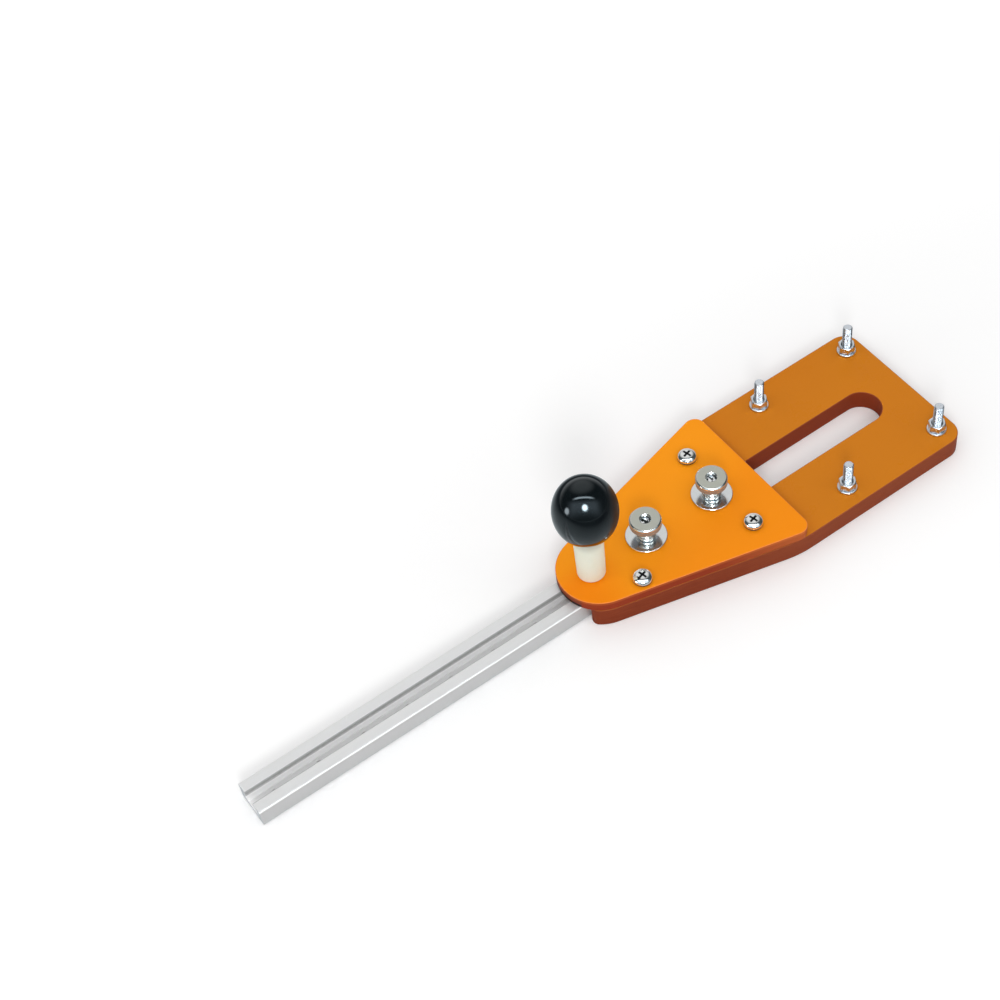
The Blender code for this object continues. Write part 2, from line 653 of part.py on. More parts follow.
def make_machine_nut(number, x, y):
    """A hexagon nut with chamfered corners."""
    bore, flat = MACHINE_BORE / 2, MACHINE_NUT_ACROSS_FLATS / 2
    corner, height = corner_radius(MACHINE_NUT_ACROSS_FLATS), MACHINE_NUT_THICKNESS
    profile = [(bore, 0), (flat - HEXAGON_CHAMFER, 0), (corner, HEXAGON_CHAMFER),
               (corner, height - HEXAGON_CHAMFER), (flat - HEXAGON_CHAMFER, height),
               (bore, height)]
    place(f"machine_nut_{number}", mill_hexagon(turned(profile), MACHINE_NUT_ACROSS_FLATS),
          "zinc_steel", (x, y, MACHINE_NUT_SEAT))


def build():
    """Make the whole jig."""
    clear_scene()
    make_base_plate()
    make_cover_plate()
    make_rail()
    for number, (x, y) in enumerate(clamp_places(), start=1):
        make_clamp_bolt(number, x, y)
        make_clamp_top(number, x, y)
    for number, (x, y) in enumerate(cover_screw_places(), start=1):
        make_cover_screw(number, x, y)
    handle_x = NOSE_X + HANDLE_STATION
    make_handle_stem(handle_x)
    make_ball_knob(handle_x)
    make_ball_insert(handle_x)
    make_handle_bolt(handle_x)
    for number, (x, y) in enumerate(machine_screw_places(), start=1):
        make_machine_screw(number, x, y)
        make_machine_washer(number, x, y)
        make_machine_nut(number, x, y)


build()
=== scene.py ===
"""Circle cutting jig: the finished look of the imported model.

Each visible piece is modelled again in the place of the node that it stands for, with fine
arcs, rounded edges, threads and knurls, and rides on that node's body. Lengths are in metres,
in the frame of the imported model: X along the rail, Z up, the base plate's underside on z = 0.
"""

import json
import math

import bmesh
import bpy
from mathutils import Matrix, Vector


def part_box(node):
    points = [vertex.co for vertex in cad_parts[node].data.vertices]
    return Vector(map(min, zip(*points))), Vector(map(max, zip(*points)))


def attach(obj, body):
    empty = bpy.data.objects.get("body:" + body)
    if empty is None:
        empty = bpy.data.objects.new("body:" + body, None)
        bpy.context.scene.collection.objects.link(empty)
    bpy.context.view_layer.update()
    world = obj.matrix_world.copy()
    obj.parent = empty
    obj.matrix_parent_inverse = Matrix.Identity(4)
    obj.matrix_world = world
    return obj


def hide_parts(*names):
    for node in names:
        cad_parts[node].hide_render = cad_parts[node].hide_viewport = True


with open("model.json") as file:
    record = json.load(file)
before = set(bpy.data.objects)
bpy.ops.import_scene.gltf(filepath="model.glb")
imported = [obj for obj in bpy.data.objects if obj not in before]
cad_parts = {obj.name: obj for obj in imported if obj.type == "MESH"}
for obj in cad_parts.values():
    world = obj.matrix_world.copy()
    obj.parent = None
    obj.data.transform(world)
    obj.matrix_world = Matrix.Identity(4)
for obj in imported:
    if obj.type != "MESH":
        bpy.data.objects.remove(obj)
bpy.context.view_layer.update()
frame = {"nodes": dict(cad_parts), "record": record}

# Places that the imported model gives
COVER_LOW, COVER_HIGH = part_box("cover_plate")
BASE_LOW, BASE_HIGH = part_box("base_plate")
RAIL_LOW, RAIL_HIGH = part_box("rail")
NOSE_X, COVER_END_X, BASE_END_X = COVER_LOW.x, COVER_HIGH.x, BASE_HIGH.x
HALF_WIDTH = COVER_HIGH.y

# Plates
NOSE_RADIUS = 0.022
COVER_CORNER_RADIUS = 0.0058
FAR_CORNER_RADIUS = 0.009
SHOULDER_RADIUS = 0.060
FORK_TIP_RADIUS = 0.0037
SLOT_HALF_WIDTH = 0.0103
SLOT_END_X = 0.1805
PLATE_ROUNDING = 0.0005
HOLE_ROUNDING = 0.0003
COVER_SCREW_HOLE = 0.0028
CLAMP_HOLE = 0.0033
MACHINE_SCREW_HOLE = 0.0028
HANDLE_BOLT_HOLE = 0.0033
MACHINE_COUNTERSINK = 0.0055
HANDLE_COUNTERSINK = 0.0064

# Rail section, half of it: (distance from the middle, height, rounding)
RAIL_SECTION = [(0.0100, 0.0000, 0.0007), (0.0100, 0.0115, 0.0009), (0.00345, 0.0115, 0.00060),
                (0.00345, 0.0095, 0.00020), (0.0059, 0.0095, 0.00025), (0.0059, 0.0044, 0.00030),
                (0.0032, 0.0044, 0.00060), (0.0032, 0.0036, 0.00015)]
RAIL_CHANNEL_FLOOR = 0.0036
PIVOT_HOLE = 0.00155
PIVOT_HOLE_MOUTH = 0.00025
PIVOT_HOLE_PITCH = 0.025
PIVOT_HOLE_COUNT = 12

# Pivot pin
PIN_RADIUS = 0.0015
PIN_POINT_RADIUS = 0.0003
PIN_POINT_LENGTH = 0.0018
PIN_HEAD_RADIUS = 0.0029
PIN_HEAD_HEIGHT = 0.0014

# Clamp bolts
BOLT_RADIUS = 0.0030
BOLT_THREAD_ROOT = 0.00246
BOLT_THREAD_PITCH = 0.0010
BOLT_TIP = 0.0006
BOLT_PLAIN_LENGTH = 0.0085
BOLT_NECK_RADIUS = 0.0024
BOLT_NECK_LENGTH = 0.0004
BOLT_HEAD_RADIUS = 0.0060
BOLT_HEAD_HEIGHT = 0.0040
BOLT_ACROSS_FLATS = 0.0100
BOLT_CHAMFER_RADIUS = 0.0047
BOLT_CHAMFER = 0.0007

# Clamp washers and thumb nuts
CLAMP_BORE = 0.0033
CLAMP_WASHER_RADIUS = 0.0105
NUT_FOOT_RADIUS = 0.0050
NUT_FOOT_HEIGHT = 0.0022
NUT_NECK_RADIUS = 0.0042
NUT_CONE_RADIUS = 0.0072
NUT_CONE_HEIGHT = 0.0022
NUT_RIM_RADIUS = 0.0080
NUT_RIM_HEIGHT = 0.0047
NUT_RIM_CHAMFER = 0.0004
NUT_TOP_RADIUS = 0.0073
NUT_TOP_CHAMFER = 0.0008
NUT_HOLE_RADIUS = 0.0026
NUT_HOLE_MOUTH = 0.0030
NUT_GROOVE_RADIUS = 0.0029
KNURL_TEETH = 80
KNURL_DEPTH = 0.00014
KNURL_FOOT = 0.0005
KNURL_TOP = 0.0009

# Cover screws and machine screws
SCREW_RADIUS = 0.0025
SCREW_THREAD_ROOT = 0.0021
SCREW_THREAD_PITCH = 0.0008
SCREW_TIP = 0.0005
PAN_RADIUS = 0.0050
PAN_EDGE_RADIUS = 0.0047
PAN_EDGE = 0.0003
PAN_WALL = 0.0011
PAN_DOME = 0.0026
PAN_NECK = 0.0005
PAN_CROSS = (0.0031, 0.00075, 0.0026)
PAN_CROSS_TURN = math.radians(14)
PAN_FALL = 12800
SUNK_HEAD_RADIUS = 0.0049
SUNK_HEAD_EDGE = 0.0003
SUNK_HEAD_HEIGHT = 0.0027
SUNK_NECK = 0.0013
SUNK_CROSS = (0.0025, 0.0006, 0.0022)
CROSS_CORNER_RADIUS = 0.00012
MACHINE_BORE = 0.0028
MACHINE_WASHER_RADIUS = 0.0050
MACHINE_NUT_RADIUS = 0.0047
MACHINE_NUT_ACROSS_FLATS = 0.0080
MACHINE_NUT_FACE_RADIUS = 0.0038
MACHINE_NUT_CHAMFER = 0.0005
MACHINE_NUT_MOUTH_RADIUS = 0.0031
MACHINE_NUT_MOUTH = 0.0003

# Handle
STEM_BORE = 0.0033
STEM_FOOT_RADIUS = 0.0071
STEM_TOP_RADIUS = 0.00745
BALL_RADIUS = 0.0160
BALL_SEAT_RADIUS = 0.0070
BALL_BORE_RADIUS = 0.0050
BALL_BORE_DEPTH = 0.0156
BALL_ROWS = 44

# Steps and margins of the modelling
ARC_STEP = math.radians(3)
OVERRUN = 0.002
OVERLAP = 0.0001
MERGE = 0.000001

# Where the finishes change, and where light and shade are painted on them
FORK_OPENING = 0.0110
# Top of the painted shadow line on the cover's nose
GAP_SHADOW_TOP = 0.0147
# Heights of the painted highlight band on the cover's edge
COVER_HIGHLIGHT_LOW, COVER_HIGHLIGHT_HIGH = 0.0163, 0.0173
BOLT_END_LOW, BOLT_END_HIGH = 0.0308, 0.0311
STEM_TINT_TOP = 0.0205
STEM_SHADE_LOW, STEM_SHADE_HIGH = 0.0420, 0.0500

# The level direction along which the overhead lamp lies, and towards which the ball is worn
ACROSS = Vector((0.8225, -0.5688, 0))


# Modelling


def verts_in(geometry):
    return [part for part in geometry if isinstance(part, bmesh.types.BMVert)]


def rounded(bm, geometry, offset, segments=3, affect="EDGES"):
    """Round edges or corners."""
    bmesh.ops.bevel(bm, geom=geometry, offset=offset, offset_type="OFFSET", segments=segments,
                    profile=0.5, affect=affect, material=-1)


def closed_up(bm):
    """Merge doubles and turn every face outwards."""
    bmesh.ops.remove_doubles(bm, verts=bm.verts, dist=MERGE)
    bmesh.ops.recalc_face_normals(bm, faces=bm.faces)
    return bm


def turned(profile, steps, ring=False):
    """A shape turned about Z from (radius, height, rounding) points; a ring has a bore."""
    bm = bmesh.new()
    points = [bm.verts.new((radius, 0, height)) for radius, height, _ in profile]
    for pair in zip(points, points[1:] + points[:1] if ring else points[1:]):
        bm.edges.new(pair)
    for point, (_, _, rounding) in zip(points, profile):
        if rounding:
            rounded(bm, [point], rounding, 4, "VERTICES")
    bmesh.ops.spin(bm, geom=bm.verts[:] + bm.edges[:], axis=(0, 0, 1), cent=(0, 0, 0),
                   angle=math.tau, steps=steps, use_merge=True)
    return closed_up(bm)


def moved(bm, place):
    bmesh.ops.translate(bm, verts=bm.verts, vec=place)
    return bm


def joined(pieces):
    """One bmesh that holds several."""
    whole = bmesh.new()
    passing = bpy.data.meshes.new("passing")
    for piece in pieces:
        piece.to_mesh(passing)
        piece.free()
        whole.from_mesh(passing)
    bpy.data.meshes.remove(passing)
    return whole


def outline(arcs):
    """A closed outline: arcs of (middle, radius, start, end) and the straight edges between."""
    bm = bmesh.new()
    ends = []
    for (x, y), radius, start, end in arcs:
        first = bm.verts.new((x + radius * math.cos(start), y + radius * math.sin(start), 0))
        spun = bmesh.ops.spin(bm, geom=[first], cent=(x, y, 0), axis=(0, 0, 1), angle=end - start,
                              steps=max(1, math.ceil(abs(end - start) / ARC_STEP)))
        ends.append((first, verts_in(spun["geom_last"])[0]))
    for (_, last), (first, _) in zip(ends, ends[1:] + ends[:1]):
        bm.edges.new((last, first))
    bmesh.ops.remove_doubles(bm, verts=bm.verts, dist=MERGE)
    return bm


def extruded(bm, direction):
    """A prism from a closed outline."""
    faces = bmesh.ops.edgeloop_fill(bm, edges=bm.edges)["faces"]
    grown = bmesh.ops.extrude_face_region(bm, geom=faces)["geom"]
    bmesh.ops.translate(bm, verts=verts_in(grown), vec=direction)
    bmesh.ops.recalc_face_normals(bm, faces=bm.faces)
    return bm


def mirrored(arcs):
    """The arcs of half an outline and their mirror images below the X axis."""
    return arcs + [((x, -y), radius, -end, -start)
                   for (x, y), radius, start, end in reversed(arcs)]


def sheet(arcs, low, high):
    """A flat sheet between two heights, its top and bottom edges rounded."""
    bm = extruded(outline(arcs), (0, 0, high - low))
    rims = [edge for edge in bm.edges if edge.calc_face_angle(0) > math.radians(60)
            and abs(edge.verts[0].co.z - edge.verts[1].co.z) < MERGE]
    rounded(bm, rims, PLATE_ROUNDING)
    return moved(bm, (0, 0, low))


def drill(x, y, radius, low, high, sink=0):
    """A drill through a sheet that breaks both edges of its hole; it can countersink below."""
    mouth = HOLE_ROUNDING + OVERRUN
    sunk = sink + OVERRUN if sink else radius + mouth
    start = sunk - radius - OVERRUN
    return moved(turned([(0, low - OVERRUN, 0), (sunk, low - OVERRUN, 0), (radius, low + start, 0),
                         (radius, high - HOLE_ROUNDING, 0), (radius + mouth, high + OVERRUN, 0),
                         (0, high + OVERRUN, 0)], 48), (x, y, 0))


def thread(root, crest, pitch, low, high, steps=36, tip=0):
    """A thread between two heights, closed by a flat end at both; tip bevels its upper end."""
    turns = math.ceil((high - low) / pitch) + 2
    line = [(root, 0), (root, 0.25), (crest, 0.5625), (crest, 0.6875), (root, 1)]
    bm = bmesh.new()
    points = [bm.verts.new((radius, 0, low + (share - 1.5) * pitch)) for radius, share in line]
    for pair in zip(points, points[1:]):
        bm.edges.new(pair)
    bmesh.ops.spin(bm, geom=bm.verts[:] + bm.edges[:], axis=(0, 0, 1), cent=(0, 0, 0),
                   dvec=(0, 0, pitch / steps), angle=math.tau * turns, steps=steps * turns)
    bmesh.ops.remove_doubles(bm, verts=bm.verts, dist=MERGE)
    for vert in bm.verts:
        limit = crest - max(0, tip - (high - vert.co.z))
        if tip and vert.co.xy.length > limit:
            vert.co.xy *= limit / vert.co.xy.length
    for height, side in ((low, "clear_inner"), (high, "clear_outer")):
        bmesh.ops.bisect_plane(bm, geom=bm.verts[:] + bm.edges[:] + bm.faces[:], dist=MERGE / 10,
                               plane_co=(0, 0, height), plane_no=(0, 0, 1), **{side: True})
    bmesh.ops.holes_fill(bm, edges=[edge for edge in bm.edges if edge.is_boundary], sides=0)
    return closed_up(bm)


def hexagon(across_flats, low, high):
    """A hexagon bar between two heights, two of its flats facing along Y."""
    bm = bmesh.new()
    bmesh.ops.create_circle(bm, cap_ends=True, segments=6,
                            radius=across_flats / 2 / math.cos(math.pi / 6))
    bmesh.ops.rotate(bm, verts=bm.verts, matrix=Matrix.Rotation(math.pi / 6, 3, "Z"))
    grown = bmesh.ops.extrude_face_region(bm, geom=bm.faces[:])["geom"]
    bmesh.ops.translate(bm, verts=verts_in(grown), vec=(0, 0, high - low))
    bmesh.ops.recalc_face_normals(bm, faces=bm.faces)
    return moved(bm, (0, 0, low))


def cross_punch(span, arm, depth):
    """The punch of a cross recess, point down, its mouth on z = 0; span and arm are half sizes."""
    bm = bmesh.new()
    corners = []
    for quarter in range(4):
        turn = Matrix.Rotation(quarter * math.pi / 2, 3, "Z")
        for corner in ((span, -arm), (span, arm), (arm, arm)):
            corners.append(bm.verts.new(turn @ Vector((*corner, -depth))))
    for pair in zip(corners, corners[1:] + corners[:1]):
        bm.edges.new(pair)
    extruded(bm, (0, 0, depth + OVERRUN))
    point = [vert for vert in bm.verts if vert.co.z < 0]
    bmesh.ops.scale(bm, verts=point, vec=(0.50, 0.55, 1))
    upright = [edge for edge in bm.edges if abs(edge.verts[0].co.z - edge.verts[1].co.z) > depth]
    rounded(bm, upright, CROSS_CORNER_RADIUS, 2)
    return bm


# Putting pieces in place

BODIES = {node: body for body, nodes in frame["record"]["behaviour"]["bodies"].items()
          for node in nodes}


def linked(name, bm, material=None):
    """A new object in the scene from a bmesh."""
    mesh = bpy.data.meshes.new(name)
    bm.to_mesh(mesh)
    bm.free()
    if material:
        mesh.materials.append(material)
    item = bpy.data.objects.new(name, mesh)
    bpy.context.scene.collection.objects.link(item)
    return item


def machined(operation, stock, tool):
    """The stock after a boolean operation with a tool."""
    stock_item, tool_item = linked("stock", stock), linked("tool", tool)
    boolean = stock_item.modifiers.new("machining", "BOOLEAN")
    boolean.operation = operation
    boolean.object = tool_item
    result = stock_item.evaluated_get(bpy.context.evaluated_depsgraph_get())
    bm = bmesh.new()
    bm.from_mesh(result.to_mesh())
    result.to_mesh_clear()
    for item in (stock_item, tool_item):
        bpy.data.objects.remove(item)
    return bm


def settled(style, node, bm, material, sharp=32):
    """A finished piece in a node's place, its edges sharp above an angle in degrees."""
    item = linked(f"{style}_{node}", bm, material)
    item.data.shade_smooth()
    item.data.set_sharp_from_angle(angle=math.radians(sharp))
    even = item.modifiers.new("even_shading", "WEIGHTED_NORMAL")
    even.keep_sharp = True
    even.weight = 90
    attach(item, BODIES[node])
    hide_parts(node)


# Finishes


class Signal:
    """One socket of a finish; sums and products of signals add Math nodes."""

    def __init__(self, recipe, socket):
        self.recipe = recipe
        self.socket = socket

    def math(self, operation, *values):
        return self.recipe.add("ShaderNodeMath", {"operation": operation}, dict(enumerate(values)))

    def __add__(self, other):
        return self.math("ADD", self, other)

    def __sub__(self, other):
        return self.math("SUBTRACT", self, other)

    def __rsub__(self, other):
        return self.math("SUBTRACT", other, self)

    def __mul__(self, other):
        return self.math("MULTIPLY", self, other)

    def __abs__(self):
        return self.math("ABSOLUTE", self)

    __radd__ = __add__
    __rmul__ = __mul__

    def root(self):
        return self.math("SQRT", self)

    def larger(self, other):
        return self.math("MAXIMUM", self, other)


class Recipe:
    """The nodes of a finish."""

    def __init__(self, tree):
        self.tree = tree

    def add(self, kind, settings, inputs, output=0):
        """Any node: its settings are set first, then its sockets' values or links."""
        node = self.tree.nodes.new(kind)
        for name, value in settings.items():
            setattr(node, name, value)
        for key, value in inputs.items():
            if isinstance(value, Signal):
                self.tree.links.new(value.socket, node.inputs[key])
            elif isinstance(value, tuple) and node.inputs[key].type == "RGBA":
                node.inputs[key].default_value = (*value, 1)
            else:
                node.inputs[key].default_value = value
        return Signal(self, node.outputs[output])

    def feed(self, node, sockets):
        """Link signals to a node's sockets."""
        for name, value in sockets.items():
            self.tree.links.new(value.socket, node.inputs[name])

    def place(self, centre=(0, 0, 0), turn=(0, 0, 0), stretch=(1, 1, 1)):
        """Object coordinates, centred, turned and stretched."""
        at = self.add("ShaderNodeTexCoord", {}, {}, "Object")
        return self.add("ShaderNodeMapping", {"vector_type": "TEXTURE"},
                        {"Vector": at, "Location": centre, "Rotation": turn, "Scale": stretch})

    def axes(self, vector):
        split = self.add("ShaderNodeSeparateXYZ", {}, {0: vector})
        return [Signal(self, socket) for socket in split.socket.node.outputs]

    def facing(self):
        """The three parts of the surface's direction."""
        return self.axes(self.add("ShaderNodeNewGeometry", {}, {}, "Normal"))

    def noise(self, at, scale, detail=2, roughness=0.5):
        return self.add("ShaderNodeTexNoise", {}, {"Vector": at, "Scale": scale, "Detail": detail,
                                                   "Roughness": roughness})

    def spread(self, value, low, high):
        """0 below low, 1 above high, smooth between."""
        return self.add("ShaderNodeMapRange", {"interpolation_type": "SMOOTHSTEP"},
                        {0: value, 1: low, 2: high, 3: 0.0, 4: 1.0})

    def mix(self, factor, first, second):
        """From the first colour to the second."""
        return self.add("ShaderNodeMix", {"data_type": "RGBA"}, {0: factor, 6: first, 7: second}, 2)

    def bump(self, height, distance):
        return self.add("ShaderNodeBump", {},
                        {"Strength": 1.0, "Distance": distance, "Height": height})

    def dot(self, vector, direction):
        return self.add("ShaderNodeVectorMath", {"operation": "DOT_PRODUCT"},
                        {0: vector, 1: tuple(direction)}, "Value")

    def distance_from_axis(self, x, y):
        """Distance from a vertical line."""
        along, across, _ = self.axes(self.place((x, y, 0)))
        return (along * along + across * across).root()

    def scratches(self, turn, scale=1500, length=70):
        """Thin hairlines along one direction."""
        lines = self.noise(self.place(turn=(0, 0, turn), stretch=(length, 1, 1)), scale, 1)
        return self.spread(lines, 0.66, 0.74)


def grey(value):
    return (value, value, value)


def finish(name, constants):
    """A new material, its recipe and its shader, with constants on the shader's own sockets."""
    material = bpy.data.materials.new(name)
    material.use_nodes = True
    shader = material.node_tree.nodes["Principled BSDF"]
    for socket, value in constants.items():
        shader.inputs[socket].default_value = value
    return material, Recipe(material.node_tree), shader


def laminate(name, face, face_dark, edge, edge_dark, rim, inner, gloss, deep):
    """Pressed resin sheet: a mottled face and layered sawn edges, with painted light and shade.

    deep tints the face towards the nose, and inner the walls that face the rail. rim is the colour
    of the lighter hairlines on the face and of the painted highlights on the edges: along the upper
    rims, in a band below the cover's top edge and towards the wide end. Edge faces turned down are
    painted darker as shade, and a painted shadow lines the cover's lower edge over the rail at the
    nose.
    """
    material, r, shader = finish(name, {"Specular IOR Level": 0.09})
    at = r.place()
    along, across, height = r.axes(at)
    nx, _, nz = r.facing()
    flat = r.spread(abs(nz), 0.90, 0.995)
    # Painted highlight: rounded rims that face up are painted lighter, in the rim colour
    rim_highlight = r.spread(nz, 0.12, 0.45) * (1 - flat)
    under = r.spread(0 - nz, 0.05, 0.30)
    mottle = r.noise(at, 28, 4, 0.55)
    grain = r.noise(at, 1300, 2)
    hair = r.scratches(0.35) + r.scratches(-0.5, 1900, 50) + r.scratches(1.3, 1700, 60)
    face_tone = r.mix(mottle * 0.8 + grain * 0.35 - 0.1, face_dark, face)
    towards_nose = r.spread(0.018 - along, 0.0, 0.030) * r.spread(0.012 - across, 0.0, 0.015)
    deeper = r.spread(across - along * 0.35, 0.000, -0.045) * 0.6
    face_tone = r.mix(deeper.larger(towards_nose), face_tone, deep)
    face_tone = r.mix(hair * 0.05, face_tone, rim)
    layers = r.noise(r.place(stretch=(45, 45, 1)), 5200, 3, 0.6)
    chatter = r.noise(r.place(stretch=(1, 1, 40)), 1100, 2)
    edge_tone = r.mix(r.spread(layers, 0.35, 0.65) * 0.8 + chatter * 0.2, edge_dark, edge)
    opening = FORK_OPENING - abs(across)
    slot_wall = r.spread(opening, 0.0, 0.0004) * (1 - r.spread(nx, 0.3, 0.6))
    edge_tone = r.mix(slot_wall, edge_tone, inner)
    # Painted highlight: the sawn edges grow lighter towards the wide end
    edge_tone = r.mix(r.spread(along, 0.04, 0.10) * 0.25, edge_tone, rim)
    # Painted highlight: a lighter band on the cover's edge just below its top
    edge_tone = r.mix(r.spread(height, COVER_HIGHLIGHT_LOW, COVER_HIGHLIGHT_HIGH) * 0.14, edge_tone, rim)
    # Painted shade: edge faces turned downwards are painted in the dark edge colour
    edge_tone = r.mix(under, edge_tone, edge_dark)
    # Painted shadow: a near-black line along the cover's lower edge where it passes over the rail
    # at the nose
    over_rail = r.spread(NOSE_X + 0.010 - along, 0.0, 0.002) * r.spread(opening, 0.0, 0.001)
    gap_shadow = over_rail * r.spread(GAP_SHADOW_TOP - height, 0.0, 0.0004) * r.spread(height, 0.0119, 0.0121)
    edge_tone = r.mix(gap_shadow, edge_tone, grey(0.001))
    tone = r.mix(flat, r.mix(rim_highlight * (0.55 + grain * 0.5), edge_tone, rim), face_tone)
    smudge = r.spread(r.noise(at, 55, 3, 0.6), 0.35, 0.75)
    rough = flat * (gloss + smudge * 0.10 + grain * 0.05 + hair * 0.06) + (1 - flat) * 0.50
    relief = flat * (grain * 0.35 - hair * 0.2) + (1 - flat) * (layers * 0.6 + chatter * 1.0)
    r.feed(shader, {"Base Color": tone, "Roughness": rough, "Normal": r.bump(relief, 0.00002)})
    return material


def drawn_aluminium():
    """Anodised extrusion with drawing lines and sawn ends, with painted light and shade.

    The masks follow RAIL_SECTION: a painted highlight on the arrises at its outer corners, painted
    shade on the inner walls of the lips, paler paint as painted light in the cavity below them,
    painted shade on its walls, and the palest paint, a painted highlight, on the flats beside the
    channel. The sides are painted darker as shade, and the slot is painted darker as shade where it
    runs under the cover's nose.
    """
    material, r, shader = finish("drawn_aluminium", {})
    at = r.place()
    along, across, height = r.axes(at)
    nx, ny, nz = r.facing()
    lines = r.noise(r.place(stretch=(160, 1, 1)), 3600, 3, 0.6)
    broad = r.noise(r.place(stretch=(40, 1, 1)), 420, 2)
    cloud = r.noise(at, 60, 3)
    sawn = r.spread(abs(nx), 0.80, 0.95)
    saw = r.noise(r.place(turn=(0.2, 0, 0), stretch=(1, 60, 1)), 5200, 2)
    nicks = r.spread(r.noise(r.place(turn=(0, 0, 0.9), stretch=(12, 1, 1)), 900, 1), 0.72, 0.78)
    level = r.spread(nz, 0.6, 0.95)
    tone = r.mix(lines * 0.6 + broad * 0.5, grey(0.760), grey(0.840))
    tone = r.mix(nicks * 0.35, tone, grey(0.93))
    # Painted shade: the sides are painted a darker grey
    side = r.spread(abs(ny), 0.9, 0.99)
    tone = r.mix(side * 0.8, tone, (0.615, 0.595, 0.590))
    # Painted highlight: the rounded outer arrises are painted white
    arris_highlight = (r.spread(nz, 0.10, 0.35) * (1 - r.spread(nz, 0.78, 0.92))
             * r.spread(abs(across), 0.0088, 0.0090))
    tone = r.mix(arris_highlight, tone, grey(1.0))
    throat_shade = (r.spread(0.00415 - abs(across), 0.0, 0.0001) * r.spread(abs(ny), 0.15, 0.35)
              * r.spread(height, 0.0096, 0.0099))
    cavity = (r.spread(0.0061 - abs(across), 0.0, 0.0003)
              * r.spread(0.0104 - height, 0.0, 0.0006) * r.spread(height, 0.0012, 0.0022))
    # Painted light: faces inside the cavity are painted paler than the lips, the flats beside the
    # channel palest as a painted highlight
    ledge_highlight = level * r.spread(abs(across), 0.0031, 0.0033)
    # Painted shade: the cavity's side walls are painted mid grey
    wall = r.spread(abs(across), 0.0050, 0.0055) * r.spread(abs(ny), 0.5, 0.8)
    inner_tone = r.mix(ledge_highlight + (1 - level), grey(0.90), grey(1.0))
    inner_tone = r.mix(wall, inner_tone, grey(0.50))
    tone = r.mix(cavity * (0.9 + cloud * 0.1), tone, r.mix(lines * 0.10, inner_tone, tone))
    # Painted shade: the inner walls of the lips are painted dark grey
    tone = r.mix(throat_shade, tone, grey(0.37))
    # Painted shade: the inside of the slot is painted darker from just inside the cover's nose, the
    # rail at rest
    under_cover_shade = r.spread(along, NOSE_X + 0.001, NOSE_X + 0.008)
    inside = cavity.larger(throat_shade)
    tone = r.mix(inside * under_cover_shade, tone, grey(0.22))
    tone = r.mix(sawn, tone, r.mix(saw, (0.50, 0.51, 0.53), (0.72, 0.73, 0.74)))
    rough = 0.24 + lines * 0.10 + cloud * 0.10 + nicks * 0.1 + sawn * 0.12 + inside * 0.2
    relief = (1 - sawn) * (lines + nicks * -0.8) + sawn * saw * 2.0
    r.feed(shader, {"Base Color": tone, "Roughness": rough,
                    "Metallic": (1 - inside) * (1 - arris_highlight) * (0.5 - side * 0.12),
                    "Normal": r.bump(relief, 0.000012)})
    return material


def bright_steel(name, centre, ringed, tone=(0.84, 0.86, 0.87), dull=(0.62, 0.65, 0.66),
                 faced=(0.76, 0.79, 0.79), gloss=0.09, painted_shade_at=None):
    """Plated steel, with turning rings on its flat faces where it is turned.

    The last argument gives the share of painted shade, dark paint where shade falls, at a
    distance from the axis and a height.
    """
    material, r, shader = finish(name, {} if painted_shade_at else {"Metallic": 1.0})
    at = r.place()
    _, _, height = r.axes(at)
    _, _, nz = r.facing()
    flat = r.spread(abs(nz), 0.97, 0.998)
    smudge = r.spread(r.noise(at, 260, 3, 0.6), 0.35, 0.75)
    fine = r.noise(at, 2600, 2)
    hair = r.scratches(0.7, 2600, 35) + r.scratches(-0.9, 2300, 45)
    out = r.distance_from_axis(*centre)
    outwards = r.add("ShaderNodeCombineXYZ", {}, {0: out * 26000.0, 1: 0.0, 2: 0.0})
    rings = r.noise(outwards, 0.35, 3, 0.7)
    colour = r.mix(flat * (0.55 + rings * 0.9 * ringed), tone, faced)
    colour = r.mix(smudge * 0.35 + fine * 0.25, colour, r.mix(0.5, colour, dull))
    colour = r.mix(hair * 0.15, colour, (0.92, 0.92, 0.91))
    # Painted reflection: faces turned downwards are painted a blue grey
    colour = r.mix(r.spread(0 - nz, 0.15, 0.50), colour, (0.46, 0.56, 0.66))
    # Painted shade: where the given share is high, dark and less metallic
    if painted_shade_at:
        painted_shade = painted_shade_at(r, out, height)
        colour = r.mix(painted_shade, colour, (0.035, 0.04, 0.045))
        r.feed(shader, {"Metallic": 1 - painted_shade * 0.9})
    rough = (gloss + smudge * 0.05 + fine * 0.03 + hair * 0.05
             + flat * ringed * (0.10 + rings * 0.08))
    relief = fine * 0.25 - hair * 0.3 + flat * rings * ringed
    r.feed(shader, {"Base Color": colour, "Roughness": rough,
                    "Normal": r.bump(relief, 0.000008)})
    return material


